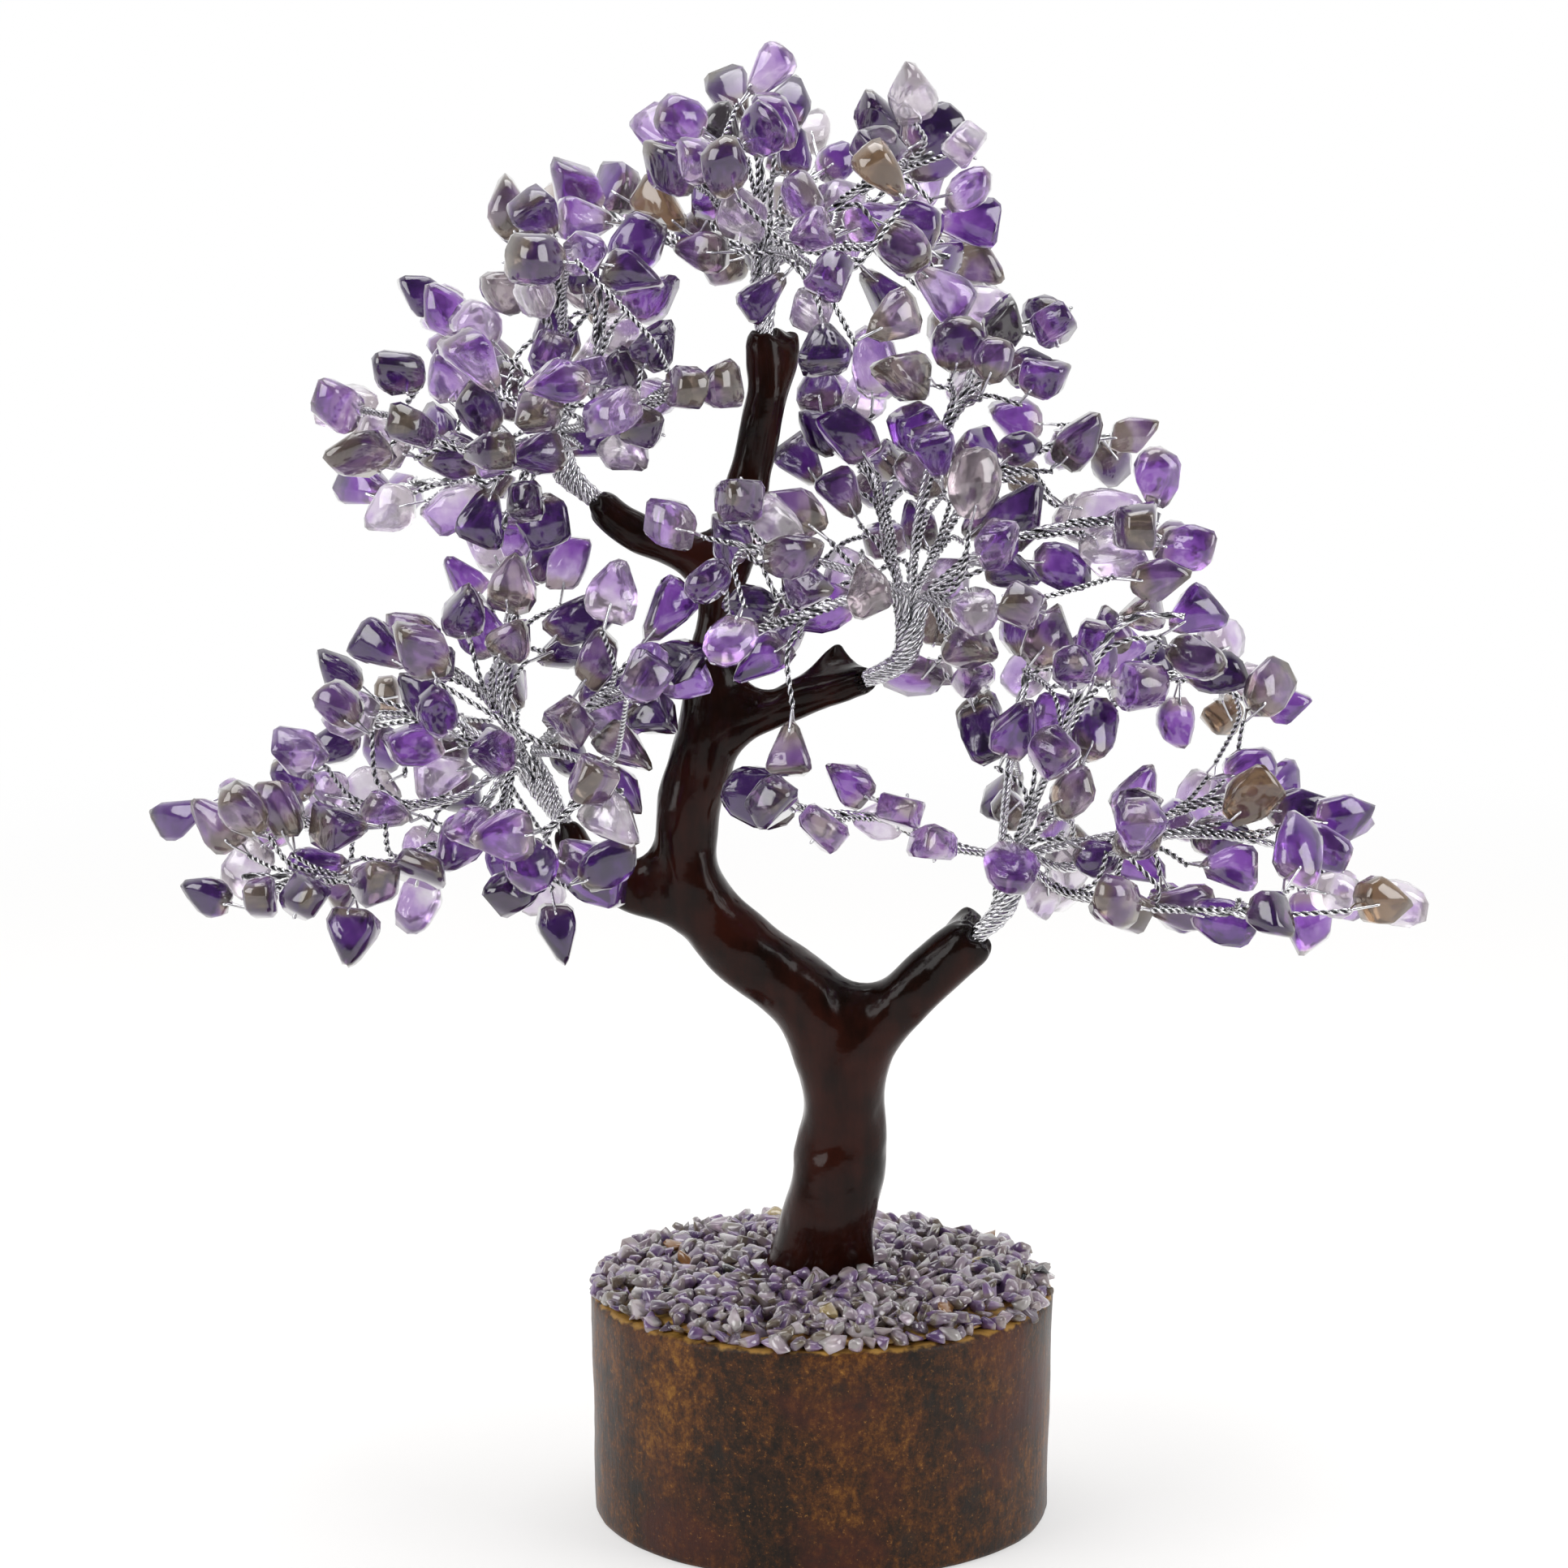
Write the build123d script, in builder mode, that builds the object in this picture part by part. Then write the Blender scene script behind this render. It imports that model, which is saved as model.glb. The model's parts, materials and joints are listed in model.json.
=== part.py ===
from build123d import *
import math
import os
from dataclasses import dataclass, field

import numpy as np

# A wire tree hung with drilled amethyst chips, on a round wooden base.
# The origin is the middle of the base's underside, +Z is up, and the viewer looks along +Y.

# Wooden base
base_top_diameter = 81.0
base_foot_diameter = 79.5
base_height = 40.0
base_edge_round = 1.2
socket_diameter = 13.0
socket_depth = 26.0

# Resin and gravel on the base
resin_thickness = 1.0
resin_rim_margin = 1.0
resin_trunk_gap = 0.7
gravel_pitch = 4.8
gravel_width = 4.4
gravel_height = 3.4
gravel_rim_margin = 0.4
gravel_mound_margin = 8.0
gravel_seat_gap = 0.02
gravel_shape_count = 12
gravel_mound_share = 0.5
gravel_tone_shares = (("violet", 0.42), ("pale", 0.74), ("smoky", 1.0))
gravel_level_shares = ((0.0, 0.62), (0.45, 1.0), (1.0, 0.4))
gravel_ring_counts = (4, 5, 3)

# Trunk and the wires inside it
tree_height = 215.0
tree_depth = 120.0
trunk_width = 16.0
trunk_foot_offset = -1.8
core_diameter = 2.0
core_sides = 6
core_tip_gap = 0.5

# Wires outside the trunk
rope_diameter = 5.6
rope_sides = 8
rope_straight_length = 2.0
knuckle_length = 3.0
knuckle_gap = 0.35
strand_diameter = 1.6
strand_ring_radius = 1.95
strand_sides = 5
strand_seat_gap = 0.05
strand_lead = 2.0
strand_shoulder = 3.0
twig_diameter = 0.9
twig_sides = 5
twig_length = 14.0
twig_seat_gap = 0.15
elbow_place_share = 0.45
elbow_lean_share = 0.5
wire_diameter = 0.42
wire_sides = 4

# Drilled chips and the loop of wire that holds each
chip_length = 10.8
chip_width = 7.4
chip_thickness = 5.8
chip_shape_count = 18
chip_length_shares = (0.78, 1.2)
chip_width_shares = (0.84, 1.1)
chip_thickness_shares = (0.8, 1.12)
chip_level_shares = ((0.0, 0.52), (0.3, 1.0), (0.72, 0.94), (1.0, 0.56))
chip_ring_counts = (3, 5, 4, 3)
chip_tilt_share = 0.28
hole_lean_share = 0.3
hole_width = 1.0
hole_inset = 2.6
loop_reach = 1.4
loop_shoulder = 0.9
loop_side_gap = 0.25
loop_leg_spacing = 0.6
loop_seat_gap = 0.7

# Unevenness of broken stones, around each ring of corners and across it
ring_wobble_share = 0.22
ring_swell_shares = (0.84, 1.0)

# Room that is kept between pieces
clearance = 0.6
tight_clearance = 0.15
start_gap_weight = 4.2
corner_reach = 0.3
crossing_radius = 2.0
sample_spacing = 1.5
near_reach = 40.0
depth_step = 3.5
depth_tries = (0, 1, -1, 2, -2, 3, -3, 4, -4, 5, -5, 6, -6, 7, -7, 8, -8)
anchor_tries = 8
depth_jitter = 9.0
side_chip_offsets = (15.0, -12.0)
cut_overrun = 1.0

# How far each bough can be bent to the front or to the back, in degrees
swing_deg = 8.0
swing_shares = (-1.0, -0.5, 0.0, 0.5, 1.0)

# The picture that places are read from: its middle and focal length in pixels, how far the eye looks
# down, and where the eye stands from the trunk's foot, as shares of the tree's height
middle_px = 966
focal_px = 5080
eye_pitch_deg = 9.1
eye_shares = np.array([-0.0225, -3.256, 0.935])

# Trunk limbs: pixels of their middle line from the bottom up, widths as shares of the trunk's width,
# and the depth of the far end as a share of half the tree's depth
limb_px = {
    "main": [
        (1000, 1575), (1010, 1528), (1026, 1482), (1035, 1430), (1041, 1364), (1038, 1318), (1000, 1237),
        (935, 1183), (887, 1145), (853, 1090), (845, 1045), (846, 1000), (860, 952), (872, 900), (880, 837),
        (880, 780), (882, 751), (892, 716), (912, 673), (922, 600), (933, 550), (944, 480), (942, 430),
        (942, 398),
    ],
    "lower_right": [(1036, 1325), (1087, 1256), (1151, 1197), (1211, 1146)],
    "lower_left": [(872, 1128), (830, 1110), (780, 1095), (725, 1066), (692, 1010)],
    "middle_right": [(880, 890), (945, 882), (1000, 855), (1060, 838), (1085, 829)],
    "middle_left": [(900, 703), (845, 683), (776, 650), (727, 610)],
    "lower_right_lobe": [(1120, 1222), (1170, 1170), (1203, 1118)],
    "middle_right_lobe": [(1000, 852), (1020, 818), (1038, 790)],
    "crown_lobe": [(945, 500), (962, 450), (975, 405)],
    "foot_knob": [(1035, 1566), (1062, 1556), (1080, 1550)],
}
limb_width_shares = {
    "main": [
        0.99, 0.98, 1.04, 1.03, 0.94, 0.95, 0.87, 0.83, 0.77, 0.73, 0.68, 0.74, 0.74, 0.73, 0.61, 0.46, 0.40,
        0.43, 0.51, 0.49, 0.48, 0.48, 0.45, 0.42,
    ],
    "lower_right": [0.78, 0.72, 0.61, 0.60],
    "lower_left": [0.56, 0.60, 0.54, 0.44, 0.39],
    "middle_right": [0.40, 0.41, 0.45, 0.39, 0.38],
    "middle_left": [0.36, 0.45, 0.46, 0.41],
    "lower_right_lobe": [0.42, 0.44, 0.34],
    "middle_right_lobe": [0.30, 0.27, 0.20],
    "crown_lobe": [0.30, 0.36, 0.28],
    "foot_knob": [0.34, 0.28, 0.18],
}
limb_depth_shares = {
    "main": 0.0,
    "lower_right": -0.07,
    "lower_left": 0.07,
    "middle_right": -0.13,
    "middle_left": 0.05,
    "lower_right_lobe": 0.09,
    "middle_right_lobe": -0.02,
    "crown_lobe": 0.06,
    "foot_knob": -0.05,
}

# Where each core runs in the trunk: the direction of its offset from the limb's middle line in degrees,
# 0 to the viewer's right and 90 to the back, the offset as a share of the limb's radius, and the place
# in the main limb's list where it turns off into its own limb
core_turn_deg = {"crown": 30, "middle_left": 180, "middle_right": -60, "lower_left": 120, "lower_right": 0}
core_offset_shares = {
    "crown": 0.32, "middle_left": 0.50, "middle_right": 0.55, "lower_left": 0.55, "lower_right": 0.62,
}
core_turn_off = {"crown": 24, "middle_left": 17, "middle_right": 13, "lower_left": 8, "lower_right": 5}


@dataclass
class Bough:
    """One rope of wires with all that hangs on it, as read from the picture.

    Strands are lists of pixels from the rope outwards, each with the depth of its far end as a share of
    half the tree's depth. Chips are pixels of their middles, by tone.
    """

    name: str
    limb: str
    rope_end_px: tuple
    strands_px: list
    strand_depth_shares: list
    chips_px: dict
    chips: dict = field(default_factory=dict)
    twigs: list = field(default_factory=list)
    loops: list = field(default_factory=list)


crown = Bough(
    name="crown",
    limb="main",
    rope_end_px=(943, 338),
    strands_px=[
        [(938, 250), (940, 160)],
        [(1000, 285), (1035, 250), (1090, 215), (1150, 190)],
        [(1040, 305), (1110, 302), (1170, 318)],
        [(868, 310), (800, 290), (735, 252)],
        [(905, 280), (870, 230), (845, 180)],
        [(985, 250), (1010, 200)],
        [(990, 320), (1025, 365)],
    ],
    strand_depth_shares=[0.0, -0.30, 0.25, 0.45, -0.25, 0.75, -0.70],
    chips_px={
        "dark": [
            (972, 132), (895, 162), (1084, 149), (1150, 166), (1084, 186), (826, 209), (975, 189), (862, 287),
            (1121, 275), (938, 298), (944, 362), (1159, 324), (1090, 362), (1015, 428), (759, 235),
        ],
        "violet": [
            (843, 149), (955, 155), (1113, 161), (857, 195), (1030, 201), (1193, 235), (875, 238),
            (1073, 273), (1185, 273), (1021, 344), (1156, 359), (710, 238), (722, 272),
        ],
        "pale": [
            (943, 89), (817, 169), (998, 166), (1124, 115), (1189, 176), (1133, 229), (915, 267), (1001, 385),
            (1210, 376), (692, 247), (783, 253),
        ],
        "smoky": [
            (906, 123), (895, 209), (969, 247), (820, 255), (898, 324), (1205, 327), (1098, 396), (1170, 405),
        ],
    },
)

middle_left = Bough(
    name="middle_left",
    limb="middle_left",
    rope_end_px=(688, 562),
    strands_px=[
        [(625, 490), (590, 450), (545, 380)],
        [(692, 470), (690, 380), (665, 320), (640, 280)],
        [(735, 440), (740, 340)],
        [(600, 556), (540, 540), (470, 510), (430, 505)],
        [(605, 592), (560, 590), (490, 600)],
        [(770, 520), (810, 490), (860, 485)],
        [(640, 600), (620, 650)],
    ],
    strand_depth_shares=[0.45, -0.45, -0.10, -0.65, 0.30, -0.75, -0.30],
    chips_px={
        "dark": [
            (661, 266), (716, 330), (783, 305), (777, 336), (685, 416), (808, 425), (624, 465), (594, 507),
            (796, 526), (719, 544), (664, 560), (492, 457), (510, 528), (598, 637), (646, 620), (671, 640),
            (520, 365),
        ],
        "violet": [
            (621, 358), (719, 361), (796, 367), (676, 443), (416, 500), (551, 437), (455, 602), (499, 606),
            (550, 385),
        ],
        "pale": [
            (643, 321), (725, 312), (661, 364), (756, 413), (591, 403), (722, 462), (762, 504), (771, 553),
            (606, 556), (551, 466), (471, 544), (484, 626), (568, 626),
        ],
        "smoky": [
            (627, 260), (744, 370), (594, 437), (759, 471), (842, 477), (881, 477), (667, 507), (562, 561),
            (447, 561),
        ],
    },
)

middle_right = Bough(
    name="middle_right",
    limb="middle_right",
    rope_end_px=(1122, 765),
    strands_px=[
        [(1130, 650), (1150, 560), (1190, 480), (1210, 420), (1290, 390)],
        [(1230, 670), (1330, 645), (1400, 650), (1440, 670)],
        [(1050, 705), (980, 685), (900, 670)],
        [(1040, 740), (960, 768), (900, 790)],
        [(1080, 600), (1050, 540), (1020, 480)],
        [(1200, 600), (1270, 560), (1330, 540), (1390, 540)],
        [(1200, 750), (1260, 745)],
        [(1190, 800), (1205, 880)],
    ],
    strand_depth_shares=[0.10, -0.20, -0.90, -0.60, 0.50, 0.55, -0.65, 0.30],
    chips_px={
        "dark": [
            (1011, 482), (1014, 533), (1238, 400), (1266, 451), (1093, 571), (1200, 559), (1251, 556),
            (993, 574), (1088, 666), (991, 722), (1213, 643), (1251, 635), (1385, 656), (1243, 704),
            (927, 745), (1212, 902),
        ],
        "violet": [
            (1297, 398), (1284, 464), (1256, 520), (1131, 533), (1070, 722), (1016, 747), (1423, 586),
            (1465, 677), (1306, 698), (829, 648), (875, 719), (941, 811), (970, 768), (1130, 830), (1198, 832),
        ],
        "pale": [
            (1065, 487), (1078, 454), (955, 650), (1157, 717), (1312, 550), (1371, 685), (1356, 633),
            (904, 791), (1150, 830),
        ],
        "smoky": [
            (1113, 464), (1180, 426), (1223, 446), (1139, 584), (1259, 584), (1039, 610), (981, 630),
            (1371, 568), (1394, 536), (1426, 715), (910, 616), (1149, 765), (975, 920),
        ],
    },
)

lower_left = Bough(
    name="lower_left",
    limb="lower_left",
    rope_end_px=(660, 957),
    strands_px=[
        [(570, 980), (480, 1000), (400, 1010), (300, 1000), (245, 1005)],
        [(580, 1020), (520, 1050), (460, 1085), (380, 1080), (300, 1080)],
        [(620, 860), (630, 790), (650, 700), (650, 650)],
        [(705, 885), (745, 860), (790, 840), (830, 830)],
        [(590, 905), (540, 880), (470, 880), (420, 870)],
        [(620, 1030), (670, 1090)],
        [(590, 850), (520, 800)],
        [(715, 935), (765, 975)],
    ],
    strand_depth_shares=[-0.10, -0.55, 0.35, -0.70, 0.50, -0.35, -0.40, -0.80],
    chips_px={
        "dark": [
            (671, 694), (843, 812), (473, 802), (540, 815), (572, 755), (709, 767), (687, 805), (419, 834),
            (527, 857), (626, 847), (808, 882), (700, 930), (553, 927), (418, 917), (228, 1003), (260, 1106),
            (322, 1106), (375, 1103), (364, 961), (436, 1152), (624, 1064), (635, 1095), (689, 1148),
            (746, 1064),
        ],
        "violet": [
            (572, 713), (636, 668), (700, 697), (818, 758), (591, 777), (610, 927), (470, 921), (518, 917),
            (291, 982), (325, 1026), (394, 1068), (563, 1041), (614, 1011), (655, 1064), (727, 1072),
        ],
        "pale": [
            (604, 678), (754, 732), (799, 821), (432, 878), (751, 885), (306, 1068), (368, 927), (406, 972),
            (457, 976), (517, 1110), (754, 1011), (551, 953),
        ],
        "smoky": [
            (630, 719), (508, 780), (735, 815), (480, 857), (767, 920), (270, 1018), (348, 999), (417, 1095),
            (425, 1018), (517, 1068), (731, 961),
        ],
    },
)

lower_right = Bough(
    name="lower_right",
    limb="lower_right",
    rope_end_px=(1243, 1085),
    strands_px=[
        [(1240, 980), (1250, 900), (1265, 830), (1290, 790)],
        [(1150, 1040), (1090, 1010), (1010, 1000), (940, 985)],
        [(1320, 1070), (1400, 1035), (1500, 1030), (1600, 1050), (1650, 1095), (1700, 1108)],
        [(1320, 980), (1345, 900), (1400, 845), (1480, 835), (1560, 850)],
        [(1320, 1040), (1400, 1022), (1480, 990), (1540, 980), (1600, 1000), (1650, 1010)],
        [(1300, 930), (1355, 800), (1400, 760), (1460, 760)],
        [(1310, 1100), (1380, 1112), (1450, 1120), (1560, 1130)],
    ],
    strand_depth_shares=[0.35, -0.75, -0.05, 0.60, 0.35, -0.45, -0.60],
    chips_px={
        "dark": [
            (955, 986), (1259, 770), (1421, 814), (1494, 829), (1350, 905), (1247, 999), (1350, 1057),
            (1596, 999), (1622, 1067), (1564, 1125),
        ],
        "violet": [
            (1047, 966), (1110, 998), (1015, 1020), (1467, 759), (1585, 870), (1447, 885),
            (1321, 820), (1294, 891), (1350, 806), (1296, 1010), (1247, 1066), (1401, 979), (1401, 1060),
            (1455, 1012), (1538, 950), (1572, 965), (1661, 1012), (1630, 1041), (1512, 1067), (1507, 1133),
            (1614, 1127),
        ],
        "pale": [(1503, 794), (1544, 841), (1283, 1104), (1512, 976), (1640, 1101), (1721, 1112)],
        "smoky": [
            (1371, 782), (1406, 756), (1473, 809), (1509, 882), (1397, 1006), (1381, 1118), (1447, 1117),
        ],
    },
)

boughs = [crown, middle_left, middle_right, lower_left, lower_right]
tones = ("dark", "violet", "pale", "smoky")
random = np.random.default_rng(7)

to_front = np.array([0.0, -1.0, 0.0])
foot = np.array([trunk_foot_offset, 0.0, base_height])


def unit(vector):
    """The same direction with a length of 1."""
    return vector / np.linalg.norm(vector)


def place(pixel, depth):
    """The point that shows at this pixel of the picture and stands this far behind the trunk's foot."""
    pitch = math.radians(eye_pitch_deg)
    forward = np.array([0.0, math.cos(pitch), -math.sin(pitch)])
    up = np.array([0.0, math.sin(pitch), math.cos(pitch)])
    right = np.array([1.0, 0.0, 0.0])
    ray = forward + (pixel[0] - middle_px) / focal_px * right + (middle_px - pixel[1]) / focal_px * up
    eye = foot + tree_height * eye_shares
    return eye + ray * (foot[1] + depth - eye[1]) / ray[1]


def path_lengths(points):
    """How far along a broken line each of its points is."""
    steps = [np.linalg.norm(b - a) for a, b in zip(points[:-1], points[1:])]
    return np.concatenate([[0.0], np.cumsum(steps)])


def samples(points, spacing):
    """Points spread along a broken line, no further apart than the spacing."""
    spread = []
    for a, b in zip(points[:-1], points[1:]):
        count = max(1, math.ceil(np.linalg.norm(b - a) / spacing))
        spread += [a + (b - a) * n / count for n in range(count)]
    return np.array(spread + [points[-1]])


def turn_matrix(axis, degrees):
    """The matrix that turns by an angle about a direction."""
    angle = math.radians(degrees)
    x, y, z = axis
    cross = np.array([[0.0, -z, y], [z, 0.0, -x], [-y, x, 0.0]])
    return np.eye(3) + math.sin(angle) * cross + (1 - math.cos(angle)) * cross @ cross


def limb_stations(name):
    """The middle line and the radii of a trunk limb. Its depth grows evenly along its length."""
    pixels = limb_px[name]
    end_depth = limb_depth_shares[name] * tree_depth / 2
    lengths = path_lengths([np.array(p, float) for p in pixels])
    points = [place(p, end_depth * at / lengths[-1]) for p, at in zip(pixels, lengths)]
    if name == "main":
        points[0] = foot
    radii = [share * trunk_width / 2 for share in limb_width_shares[name]]
    return points, radii


def limb_planes(points):
    """A plane square to a limb at each of its stations. The trunk's foot lies flat on the base."""
    planes = []
    for n, point in enumerate(points):
        along = points[min(n + 1, len(points) - 1)] - points[max(n - 1, 0)]
        if np.allclose(point, foot):
            along = np.array([0.0, 0.0, 1.0])
        planes.append(Plane(origin=tuple(point), x_dir=tuple(-to_front), z_dir=tuple(along)))
    return planes


def wire(points, diameter, sides):
    """A wire with flat sides along a broken line."""
    with BuildPart() as rod:
        with BuildLine() as route:
            Polyline(*[tuple(p) for p in points])
        with BuildSketch(Plane(origin=tuple(points[0]), z_dir=tuple(points[1] - points[0]))):
            RegularPolygon(diameter / 2, sides)
        sweep(path=route.line, transition=Transition.RIGHT)
    return rod.part


def export_group(solids, name):
    """Writes separate pieces of one kind as one node."""
    group = Compound([piece.solid() for piece in solids])
    group.label = name
    export_step(group, f"parts/{name}.step", write_pcurves=False)


def export_piece(piece, name):
    """Writes a single piece as its node."""
    piece.label = name
    export_step(piece, f"parts/{name}.step", write_pcurves=False)


os.makedirs("parts", exist_ok=True)

# Wooden base, drilled from above for the wires
with BuildPart() as wood_base:
    with BuildSketch():
        Circle(base_foot_diameter / 2)
    with BuildSketch(Plane.XY.offset(base_height)):
        Circle(base_top_diameter / 2)
    loft()
    rims = wood_base.edges().filter_by(GeomType.CIRCLE)
    fillet(rims, radius=base_edge_round)
    with BuildSketch(Plane.XY.offset(base_height)):
        with Locations((trunk_foot_offset, 0)):
            Circle(socket_diameter / 2)
    extrude(amount=-socket_depth, mode=Mode.SUBTRACT)
export_piece(wood_base.part, "wood_base")

# Resin around the trunk's foot
foot_radius = limb_width_shares["main"][0] * trunk_width / 2
resin_radius = base_top_diameter / 2 - base_edge_round - resin_rim_margin
with BuildPart() as resin:
    with BuildSketch(Plane.XY.offset(base_height)):
        Circle(resin_radius)
        with Locations((trunk_foot_offset, 0)):
            Circle(foot_radius + resin_trunk_gap, mode=Mode.SUBTRACT)
    extrude(amount=resin_thickness)
export_piece(resin.part, "glue_bed")


def stone_corners(width, thickness, height, level_shares, ring_counts):
    """Corners of a broken stone: uneven rings, each at a share of its height and with a share of its girth."""
    corners = []
    for (level, girth), count in zip(level_shares, ring_counts):
        start = random.uniform(0, 2 * math.pi)
        for n in range(count):
            wobble = random.uniform(-ring_wobble_share, ring_wobble_share)
            angle = start + 2 * math.pi * (n + wobble) / count
            swell = girth * random.uniform(*ring_swell_shares)
            x = width / 2 * swell * math.cos(angle)
            y = thickness / 2 * swell * math.sin(angle)
            corners.append((x, y, height * level))
    return corners


def pebble_shape():
    """A bit of gravel that sits flat, within its cell and of the common height."""
    corners = stone_corners(gravel_width, gravel_width, gravel_height, gravel_level_shares, gravel_ring_counts)
    with BuildPart() as pebble:
        ConvexPolyhedron(corners)
    return pebble.part


# Gravel: one layer over the whole bed, and a second one that heaps its middle
pebble_shapes = [pebble_shape() for _ in range(gravel_shape_count)]
gravel = {"violet": [], "pale": [], "smoky": []}
bed_top = base_height + resin_thickness + gravel_seat_gap
bed_reach = resin_radius - gravel_width / 2 - gravel_rim_margin
foot_reach = foot_radius + gravel_width / 2 + resin_trunk_gap
row_pitch = gravel_pitch * math.sin(math.pi / 3)
row_count = math.ceil(bed_reach / row_pitch)
cell_count = math.ceil(bed_reach / gravel_pitch)
cell_slack = (gravel_pitch - gravel_width) / 2
knob_points, knob_radii = limb_stations("foot_knob")


def add_pebble(x, y, z):
    """Puts the next bit of gravel here, turned at random."""
    draw = random.uniform()
    tone = next(name for name, share in gravel_tone_shares if draw <= share)
    shape = pebble_shapes[random.integers(gravel_shape_count)]
    turn = random.uniform(0, 360)
    gravel[tone].append(Location((x, y, z), (0, 0, turn)) * shape)


for row in range(-row_count, row_count + 1):
    for cell in range(-cell_count, cell_count + 1):
        jitter = random.uniform(-cell_slack, cell_slack, 2) / math.sqrt(2)
        x = (cell + row % 2 / 2) * gravel_pitch + jitter[0]
        y = row * row_pitch + jitter[1]
        heaped = random.uniform() < gravel_mound_share
        from_foot = math.hypot(x - foot[0], y - foot[1])
        knob_gaps = [math.hypot(x - p[0], y - p[1]) - r for p, r in zip(knob_points, knob_radii)]
        if math.hypot(x, y) > bed_reach or from_foot < foot_reach or min(knob_gaps) < gravel_width / 2:
            continue
        add_pebble(x, y, bed_top)
        mound_reach = bed_reach - gravel_mound_margin
        if heaped and math.hypot(x, y) < mound_reach and from_foot > foot_reach + gravel_pitch:
            add_pebble(x, y, bed_top + gravel_height + gravel_seat_gap)
for tone, pebbles in gravel.items():
    export_group(pebbles, f"gravel_{tone}")


# Where each rope leaves its limb
@dataclass
class Root:
    """The bend at a limb's mouth: where the limb ends, its direction there, and the pivot and its axis."""

    mouth: np.ndarray
    along: np.ndarray
    pivot: np.ndarray
    axis: np.ndarray


def bough_root(bough):
    """The limb's last stretch gives the direction, and the bend is square to it, to the front and back."""
    points, _ = limb_stations(bough.limb)
    along = unit(points[-1] - points[-2])
    pivot = points[-1] + along * (rope_diameter / 2 + knuckle_gap)
    return Root(points[-1], along, pivot, unit(np.cross(along, to_front)))


roots = {bough.name: bough_root(bough) for bough in boughs}


# Cores: the gathered wires of each bough, from the base's socket to the limb's mouth
def core_path(bough):
    """A line beside the middle of the main limb, and then beside the middle of the bough's own limb."""
    points, radii = limb_stations("main")
    turn_off = core_turn_off[bough.name]
    points, radii = points[:turn_off], radii[:turn_off]
    if bough.limb != "main":
        limb_points, limb_radii = limb_stations(bough.limb)
        points, radii = points + limb_points[1:], radii + limb_radii[1:]
    turn = math.radians(core_turn_deg[bough.name])
    path = []
    for plane, radius in zip(limb_planes(points), radii):
        sideways = np.array(tuple(plane.y_dir)) * -math.cos(turn)
        backwards = np.array(tuple(plane.x_dir)) * math.sin(turn)
        offset = core_offset_shares[bough.name] * radius
        path.append(np.array(tuple(plane.origin)) + (sideways + backwards) * offset)
    drop = np.array([0.0, 0.0, core_tip_gap - socket_depth])
    return [path[0] + drop] + path


cores = {b.name: wire(core_path(b), core_diameter, core_sides) for b in boughs}

# Lacquered trunk: a smooth skin over all limbs, moulded around the cores
with BuildPart() as trunk_coat:
    for limb in limb_px:
        points, radii = limb_stations(limb)
        for plane, radius in zip(limb_planes(points), radii):
            with BuildSketch(plane):
                Circle(radius)
        loft()
    for core in cores.values():
        add(core, mode=Mode.SUBTRACT)
export_piece(trunk_coat.part, "trunk_coat")
for name, core in cores.items():
    export_piece(core, f"{name}_core")


# Ropes, each with a round end on its bend
def rope_path(bough):
    """Straight out of the limb, and then towards where the strands begin."""
    root = roots[bough.name]
    straight = root.pivot + root.along * rope_straight_length
    end = place(bough.rope_end_px, root.pivot[1] - foot[1])
    return [root.pivot, straight, end]


def rope(bough):
    """The twisted rope. Its start is rounded about the axis that it bends on."""
    root = roots[bough.name]
    with BuildPart() as piece:
        add(wire(rope_path(bough), rope_diameter, rope_sides))
        with BuildSketch(Plane(origin=tuple(root.pivot), z_dir=tuple(root.axis))):
            Circle(rope_diameter / 2)
        extrude(amount=knuckle_length / 2, both=True)
    return piece.part


# Strands
def strand_paths(bough):
    """Lines from the rope's end face outwards. They start around a ring, in the order that they fan out."""
    path = rope_path(bough)
    along = unit(path[-1] - path[-2])
    side = unit(np.cross(along, to_front))
    over = np.cross(side, along)
    start_depth = path[-1][1] - foot[1]
    knots = []
    for pixels, share in zip(bough.strands_px, bough.strand_depth_shares):
        end_depth = share * tree_depth / 2
        lengths = path_lengths([np.array(p, float) for p in [bough.rope_end_px] + pixels])
        shares = lengths[1:] / lengths[-1]
        knots.append([place(p, start_depth + (end_depth - start_depth) * s) for p, s in zip(pixels, shares)])
    heads = [line[0] - path[-1] for line in knots]
    angles = [math.atan2(head @ over, head @ side) for head in heads]
    straightest = int(np.argmax([unit(head) @ along for head in heads]))
    ring = sorted((n for n in range(len(knots)) if n != straightest), key=lambda n: angles[n])
    pitch = 2 * math.pi / len(ring)
    skew = [angles[n] - place_in_ring * pitch for place_in_ring, n in enumerate(ring)]
    first = math.atan2(np.mean(np.sin(skew)), np.mean(np.cos(skew)))
    starts = {straightest: path[-1] + along * strand_seat_gap}
    for place_in_ring, n in enumerate(ring):
        angle = first + place_in_ring * pitch
        spread = side * math.cos(angle) + over * math.sin(angle)
        starts[n] = path[-1] + spread * strand_ring_radius + along * strand_seat_gap
    lines = []
    for n, line in enumerate(knots):
        lead = starts[n] + strand_lead * along
        shoulder = lead + strand_shoulder * unit(along + unit(line[0] - lead))
        lines.append([starts[n], lead, shoulder] + line)
    return lines


# Chips: each a tumbled stone with a hole across it near its inner end
@dataclass
class ChipShape:
    """A chip and its loop around the hole's middle: +Z points outwards, and the hole runs along X."""

    solid: Part
    loop: Part
    length: float
    width: float

    @property
    def inner_end(self):
        """How far the twig's end lies below the hole."""
        return hole_inset + loop_reach + loop_seat_gap

    @property
    def middle(self):
        """How far the chip's middle lies above the hole."""
        return self.length / 2 - hole_inset


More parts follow.
